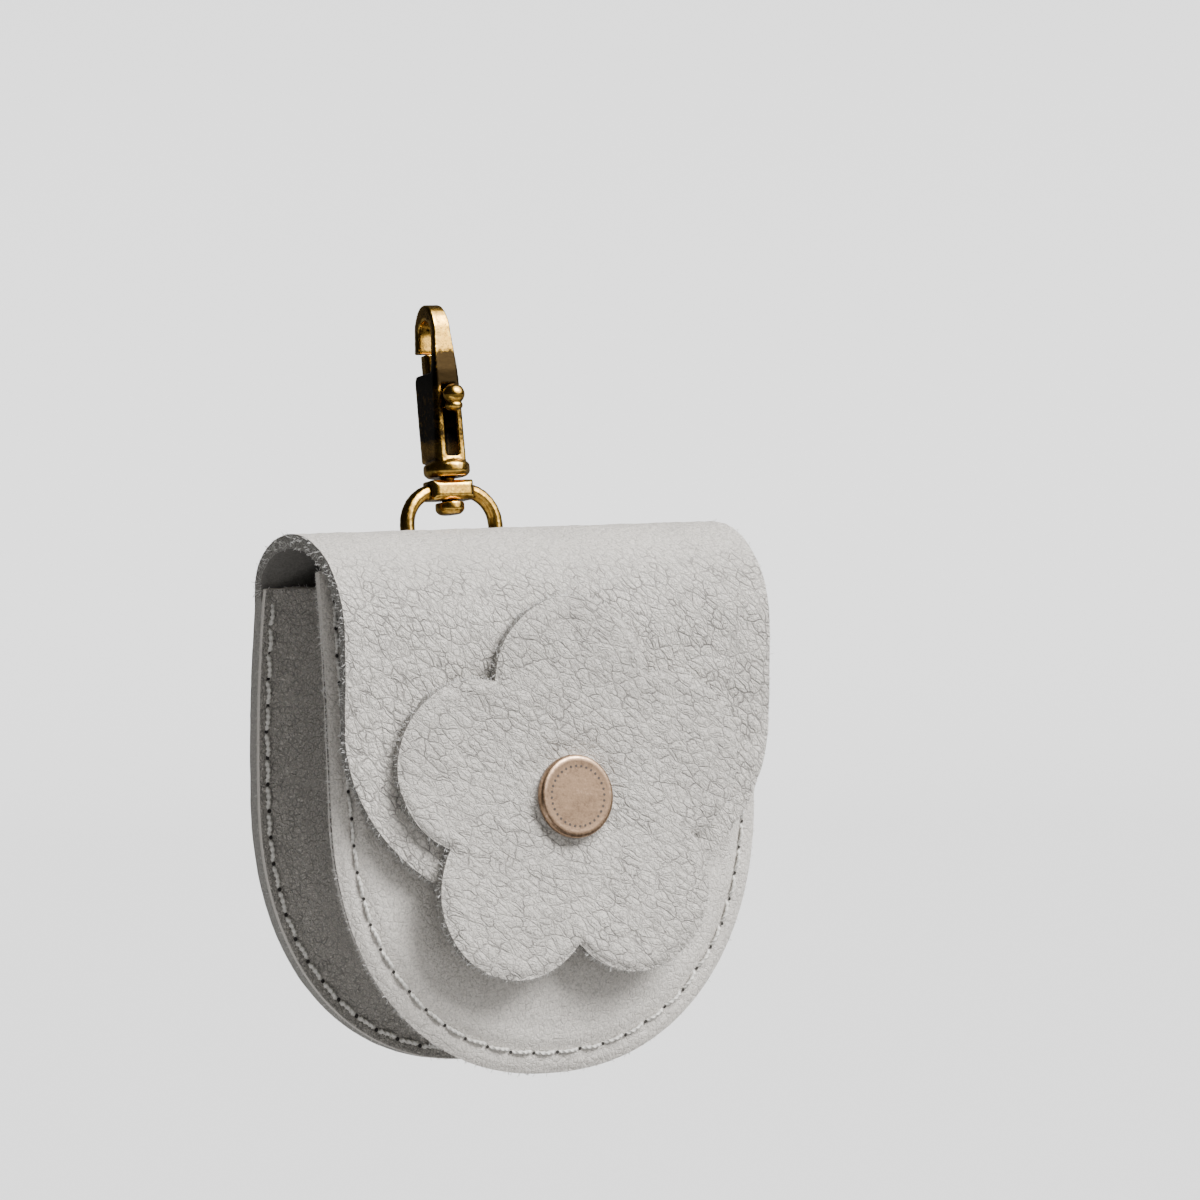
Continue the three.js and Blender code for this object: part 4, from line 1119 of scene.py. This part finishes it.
def add_wear(piece, rounds, scale):
    """Stores how far each place stands out of its surroundings, as the attribute wear."""
    mesh = piece.data
    count = len(mesh.vertices)
    points = np.empty(count * 3)
    mesh.vertices.foreach_get("co", points)
    points = points.reshape(-1, 3)
    normals = np.empty(count * 3)
    mesh.vertices.foreach_get("normal", normals)
    normals = normals.reshape(-1, 3)
    pairs = np.empty(len(mesh.edges) * 2, dtype=np.int64)
    mesh.edges.foreach_get("vertices", pairs)
    first, second = pairs.reshape(-1, 2).T
    links = np.bincount(first, minlength=count) + np.bincount(second, minlength=count)
    links = np.maximum(links, 1)
    smooth = points.copy()
    for _ in range(rounds):
        total = np.zeros_like(smooth)
        np.add.at(total, first, smooth[second])
        np.add.at(total, second, smooth[first])
        smooth = 0.5 * smooth + 0.5 * total / links[:, None]
    wear = np.einsum("ij,ij->i", points - smooth, normals) / (scale * MM)
    attribute = mesh.attributes.new("wear", "FLOAT", "POINT")
    attribute.data.foreach_set("value", np.clip(wear, -1.5, 1.5).astype(np.float32))


COPPER_BRIGHT = (0.54, 0.365, 0.245)
COPPER_WORN = (0.25, 0.165, 0.105)
COPPER_DARK = (0.1, 0.065, 0.045)
copper = metal_material("antique_copper", COPPER_BRIGHT, COPPER_WORN, COPPER_DARK, 0.32)
profile = [
    (1.5, -24.0), (1.5, -0.05), (cap_radius - 0.5, -0.05), (cap_radius - 0.12, 0.05),
    (cap_radius, 0.25), (cap_radius, CAP_HEIGHT - 0.62), (cap_radius - 0.08, CAP_HEIGHT - 0.34),
    (cap_radius - 0.3, CAP_HEIGHT - 0.1), (cap_radius - 0.6, CAP_HEIGHT),
    (cap_radius - 1.0, CAP_HEIGHT - 0.03), (cap_radius - 1.6, CAP_HEIGHT - 0.04),
    (cap_radius - 2.2, CAP_HEIGHT - 0.04), (cap_radius - 3.2, CAP_HEIGHT - 0.03),
    (1.2, CAP_HEIGHT - 0.02), (0.0, CAP_HEIGHT - 0.02),
]
DOTS = 32
DOT_RADIUS = 0.21
DOT_RING = cap_radius - 1.75


def lathe(profile, sides, centre, axis):
    """A solid turned about an axis, from (radius, height) points that end on the axis."""
    axis = Vector(axis).normalized()
    side = axis.orthogonal().normalized()
    other = axis.cross(side)
    points = []
    for radius, height in profile[:-1]:
        for i in range(sides):
            turn = 2 * math.pi * i / sides
            out = side * math.cos(turn) + other * math.sin(turn)
            points.append(Vector(centre) + out * radius + axis * height)
    top = len(points)
    points.append(Vector(centre) + axis * profile[-1][1])
    foot = len(points)
    points.append(Vector(centre) + axis * profile[0][1])
    faces = []
    for i in range(sides):
        after = (i + 1) % sides
        for k in range(len(profile) - 2):
            faces.append([k * sides + i, k * sides + after, (k + 1) * sides + after,
                          (k + 1) * sides + i])
        faces.append([(len(profile) - 2) * sides + i, (len(profile) - 2) * sides + after, top])
        faces.append([after, i, foot])
    return np.array([tuple(p) for p in points]), faces


cap_axis = (0, -math.cos(CAP_TILT), math.sin(CAP_TILT))
cap_centre = tuple(place(0, SNAP_DROP, cap_seat))
points, faces = lathe(profile, 96, cap_centre, cap_axis)
cap_lines = len(faces)
points = list(points)
across_cap = Vector(cap_axis).normalized().orthogonal().normalized()
up_cap = Vector(cap_axis).normalized().cross(across_cap)
for dot in range(DOTS):
    at = 2 * math.pi * dot / DOTS
    middle = across_cap * (DOT_RING * math.cos(at)) + up_cap * (DOT_RING * math.sin(at))
    centre = Vector(cap_centre) + middle + Vector(cap_axis) * (CAP_HEIGHT - 0.025)
    first = len(points)
    for i in range(10):
        turn = 2 * math.pi * i / 10
        out = across_cap * math.cos(turn) + up_cap * math.sin(turn)
        points.append(tuple(centre + out * DOT_RADIUS))
    faces.append(list(range(first, first + 10)))
patina, w, shader = new_material("dark_patina")
shader.inputs["Base Color"].default_value = (0.03, 0.02, 0.015, 1)
shader.inputs["Roughness"].default_value = 0.7
snap_cap = mesh_piece("snap_cap_copper", points, faces, [copper, patina])
for face in snap_cap.data.polygons[cap_lines:]:
    face.material_index = 1
point_out(snap_cap, (0, -1, 0))
add_wear(snap_cap, 2, 0.12)
settle(snap_cap, "pouch", "snap_metal", "snap_cap")


# Hanging tab. A short strap of the same hide, folded round the eye's bar behind the
# pouch and sewn flat to the back with a short row of stitches down each side.
def merged_copy(node, name, materials):
    """A joined-up copy of a CAD node's mesh, in place."""
    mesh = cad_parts[node].data.copy()
    mesh.name = name
    bm = bmesh.new()
    bm.from_mesh(mesh)
    bmesh.ops.remove_doubles(bm, verts=bm.verts, dist=1e-6)
    bmesh.ops.recalc_face_normals(bm, faces=bm.faces)
    bm.to_mesh(mesh)
    bm.free()
    mesh.materials.clear()
    for material in materials:
        mesh.materials.append(material)
    piece = bpy.data.objects.new(name, mesh)
    bpy.context.collection.objects.link(piece)
    return piece


def cast(piece, voxel, rounds):
    """Turns a faceted solid into a fine soft-edged net, as if cast and tumbled."""
    remesh = piece.modifiers.new("net", "REMESH")
    remesh.mode = "VOXEL"
    remesh.voxel_size = voxel * MM
    smooth = piece.modifiers.new("tumbled", "SMOOTH")
    smooth.factor = 0.5
    smooth.iterations = rounds
    apply_modifiers(piece)
    piece.data.shade_smooth()


TAB_SEAM = 1.7
TAB_SEAM_LENGTH = 8.0
tab_grain = grain_leather("tab_leather", HIDE_TONE, 1.1, 0.1, fine=0.6, crease_dark=0.5)
hang_tab = merged_copy("hang_tab", "leather_hang_tab", [tab_grain])
cast(hang_tab, 0.3, 4)
settle(hang_tab, "pouch", "panel_leather", "hang_tab")
tab_low, tab_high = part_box("hang_tab")
for name, side in (("stitches_tab_left", -1), ("stitches_tab_right", 1)):
    seam = []
    for height in spread(TAB_SEAM, TAB_SEAM + TAB_SEAM_LENGTH, 1.0):
        start = Vector((
            side * (tab_high[0] - TAB_SEAM * MM), tab_high[1] + MM, tab_low[2] + height * MM))
        _, at, _, _ = hang_tab.ray_cast(start, Vector((0, -1, 0)))
        seam.append(np.array(at) / MM)
    stitch_row(name, seam, [np.array([0.0, 1.0, 0.0])] * len(seam), BACK_THREAD)


# Trigger hook. One antique brass casting: a flat-sided crook that narrows upwards, an open
# barrel with two rails and a collar at the foot, where it turns on the eye's pivot.
BRASS_BRIGHT = (0.92, 0.6, 0.15)
BRASS_WORN = (0.4, 0.225, 0.04)
BRASS_DARK = (0.016, 0.01, 0.004)
brass = metal_material("antique_brass", BRASS_BRIGHT, BRASS_WORN, BRASS_DARK, 0.17,
                       patina_z=(-10.2, -5.0), rails_z=(-19.0, -10.2))
hook_body = merged_copy("hook_body", "brass_hook", [brass])
cast(hook_body, 0.13, 28)
add_wear(hook_body, 14, 0.09)
settle(hook_body, "hook", "hook_metal", "hook_body")


# Sliding bolt. A brass rod behind the rails with a two-lobed thumb knob through the slot,
# on a hidden spring.
HOOK_LEAN = math.radians(7.5)
KNOB_MIDDLE = -12.8
KNOB_BACK = -3.2
BLOCK_SHRINK = {"across": 0.5, "along": 0.6, "into": 0.4}
KNOB_LOBES = (
    ((-12.25, -4.4), (1.75, 1.6, 1.6)),
    ((-14.0, -4.1), (1.45, 0.9, 1.3)),
)
bolt_brass = metal_material("bolt_brass", BRASS_BRIGHT, BRASS_WORN, BRASS_DARK, 0.17)
gate_bolt = merged_copy("gate_bolt", "brass_bolt", [bolt_brass])
rod_axis = Vector((0, math.sin(HOOK_LEAN), math.cos(HOOK_LEAN)))
inwards = Vector((0, math.cos(HOOK_LEAN), -math.sin(HOOK_LEAN)))
bm = bmesh.new()
bm.from_mesh(gate_bolt.data)
# The plain block shrinks into the two rounded lobes that are joined to it
for vertex in bm.verts:
    along, into = vertex.co.dot(rod_axis) / MM, vertex.co.dot(inwards) / MM
    if into < KNOB_BACK + 0.1:
        along = KNOB_MIDDLE + BLOCK_SHRINK["along"] * (along - KNOB_MIDDLE)
        into = KNOB_BACK + BLOCK_SHRINK["into"] * (into - KNOB_BACK)
        vertex.co = Vector((BLOCK_SHRINK["across"] * vertex.co.x, 0, 0)) + (
            rod_axis * along + inwards * into) * MM
for middle, reach in KNOB_LOBES:
    lobe = bmesh.ops.create_uvsphere(bm, u_segments=32, v_segments=20, radius=1)["verts"]
    for vertex in lobe:
        along = middle[0] + vertex.co.z * reach[1]
        into = min(middle[1] + vertex.co.y * reach[2], KNOB_BACK)
        vertex.co = Vector((vertex.co.x * reach[0] * MM, 0, 0)) + (
            rod_axis * along + inwards * into) * MM
bm.to_mesh(gate_bolt.data)
bm.free()
cast(gate_bolt, 0.1, 5)
add_wear(gate_bolt, 14, 0.08)
settle(gate_bolt, "gate", "hook_metal", "gate_bolt")


# Swivel eye. A brass bridge on a pivot that turns under the hook's collar, with a loop of
# bent wire. The leather tab is folded round the loop's lower bar.
swivel_eye = merged_copy("swivel_eye", "brass_eye", [brass])
cast(swivel_eye, 0.13, 14)
add_wear(swivel_eye, 14, 0.09)
settle(swivel_eye, "eye", "hook_metal", "swivel_eye")


# Floor and studio light. A pale sweep of card below and behind the hanging pouch, a large
# soft key from the upper right front, a small reflector low on the left, and a surround.
FLOOR_Z = -0.19
SWEEP_START = 1.6
SWEEP_RADIUS = 1.2
SWEEP_STEPS = 24
CARD_REACH = 4.0
KEY_FROM = (0.55, -1.0, 1.1)
KEY_STRENGTH = 7.4
KEY_SPREAD = math.radians(36)
REFLECTOR_SIZE = 0.22
REFLECTOR_POWER = 0.12
REFLECTOR_PLACE = (-0.085, -0.08, -0.2)
BRIGHT_SIDE = (0.43, -0.57, 0.7)
DIMMEST = 0.015
SPREAD_BRIGHT = 1.15
PANEL_BRIGHT = 8.0
SEEN_SURROUND = 1.8
profile = [(-CARD_REACH, FLOOR_Z), (SWEEP_START, FLOOR_Z)]
for i in range(1, SWEEP_STEPS + 1):
    bend = math.pi / 2 * i / SWEEP_STEPS
    profile.append((SWEEP_START + SWEEP_RADIUS * math.sin(bend),
                    FLOOR_Z + SWEEP_RADIUS * (1 - math.cos(bend))))
profile.append((SWEEP_START + SWEEP_RADIUS, CARD_REACH))
away_from_camera = Vector((math.sin(CAMERA_AZIMUTH), math.cos(CAMERA_AZIMUTH), 0))
beside_camera = Vector((math.cos(CAMERA_AZIMUTH), -math.sin(CAMERA_AZIMUTH), 0))
corners = []
for run_out, height in profile:
    for side in (-CARD_REACH, CARD_REACH):
        at = away_from_camera * run_out + beside_camera * side
        corners.append((at.x, at.y, height))
strips = [(2 * i, 2 * i + 1, 2 * i + 3, 2 * i + 2) for i in range(len(profile) - 1)]
floor_mesh = bpy.data.meshes.new("floor")
floor_mesh.from_pydata(corners, [], strips)
floor_mesh.shade_smooth()
floor = bpy.data.objects.new("floor", floor_mesh)
bpy.context.collection.objects.link(floor)
point_out(floor, (0, 0, 1))
pale, w, shader = new_material("pale_card")
rays = w.node("ShaderNodeLightPath")
card = w.mix(rays.outputs["Is Glossy Ray"], (0.22, 0.22, 0.22, 1), (0.04, 0.04, 0.04, 1))
card = w.mix(rays.outputs["Is Camera Ray"], card, (0.85, 0.85, 0.85, 1))
w.feed(shader, "Base Color", card)
shader.inputs["Roughness"].default_value = 0.9
floor_mesh.materials.append(pale)

# The key is even light, as soft as a panel that is as wide as its spread
key_data = bpy.data.lights.new("key", "SUN")
key_data.energy = KEY_STRENGTH
key_data.angle = KEY_SPREAD
key = bpy.data.objects.new("key", key_data)
key.rotation_euler = Vector(KEY_FROM).to_track_quat("Z", "Y").to_euler()
bpy.context.collection.objects.link(key)

# The reflector brightens the foot of the gusset
card_data = bpy.data.lights.new("reflector", "AREA")
card_data.shape = "DISK"
card_data.size = REFLECTOR_SIZE
card_data.energy = REFLECTOR_POWER
card = bpy.data.objects.new("reflector", card_data)
card.visible_camera = False
card.location = REFLECTOR_PLACE
pouch_foot = Vector((-0.01, -0.02, -0.105))
card.rotation_euler = (card.location - pouch_foot).to_track_quat("Z", "Y").to_euler()
bpy.context.collection.objects.link(card)

# The surround lights from the right and front, and is dim behind and to the left. The metal
# mirrors a bright soft panel there and black card elsewhere. The camera sees it as pale card.
world = bpy.data.worlds.new("surround")
world.use_nodes = True
w = Wiring(world.node_tree)
background = world.node_tree.nodes["Background"]
direction = w.node("ShaderNodeTexCoord").outputs["Generated"]
facing = w.node("ShaderNodeVectorMath", {"operation": "DOT_PRODUCT"})
w.feed(facing, "#0", direction)
w.feed(facing, "#1", BRIGHT_SIDE)
towards = facing.outputs["Value"]
rays = w.node("ShaderNodeLightPath")
spread_light = w.ramp(towards, -0.1, 1.0, DIMMEST, SPREAD_BRIGHT)
mirrored = w.ramp(towards, 0.74, 0.93, DIMMEST, PANEL_BRIGHT)
strength = w.ramp(rays.outputs["Is Glossy Ray"], 0.0, 1.0, spread_light, mirrored)
seen = w.ramp(rays.outputs["Is Camera Ray"], 0.0, 1.0, strength, SEEN_SURROUND)
w.feed(background, "Strength", seen)
background.inputs["Color"].default_value = (1, 1, 1, 1)
bpy.context.scene.world = world
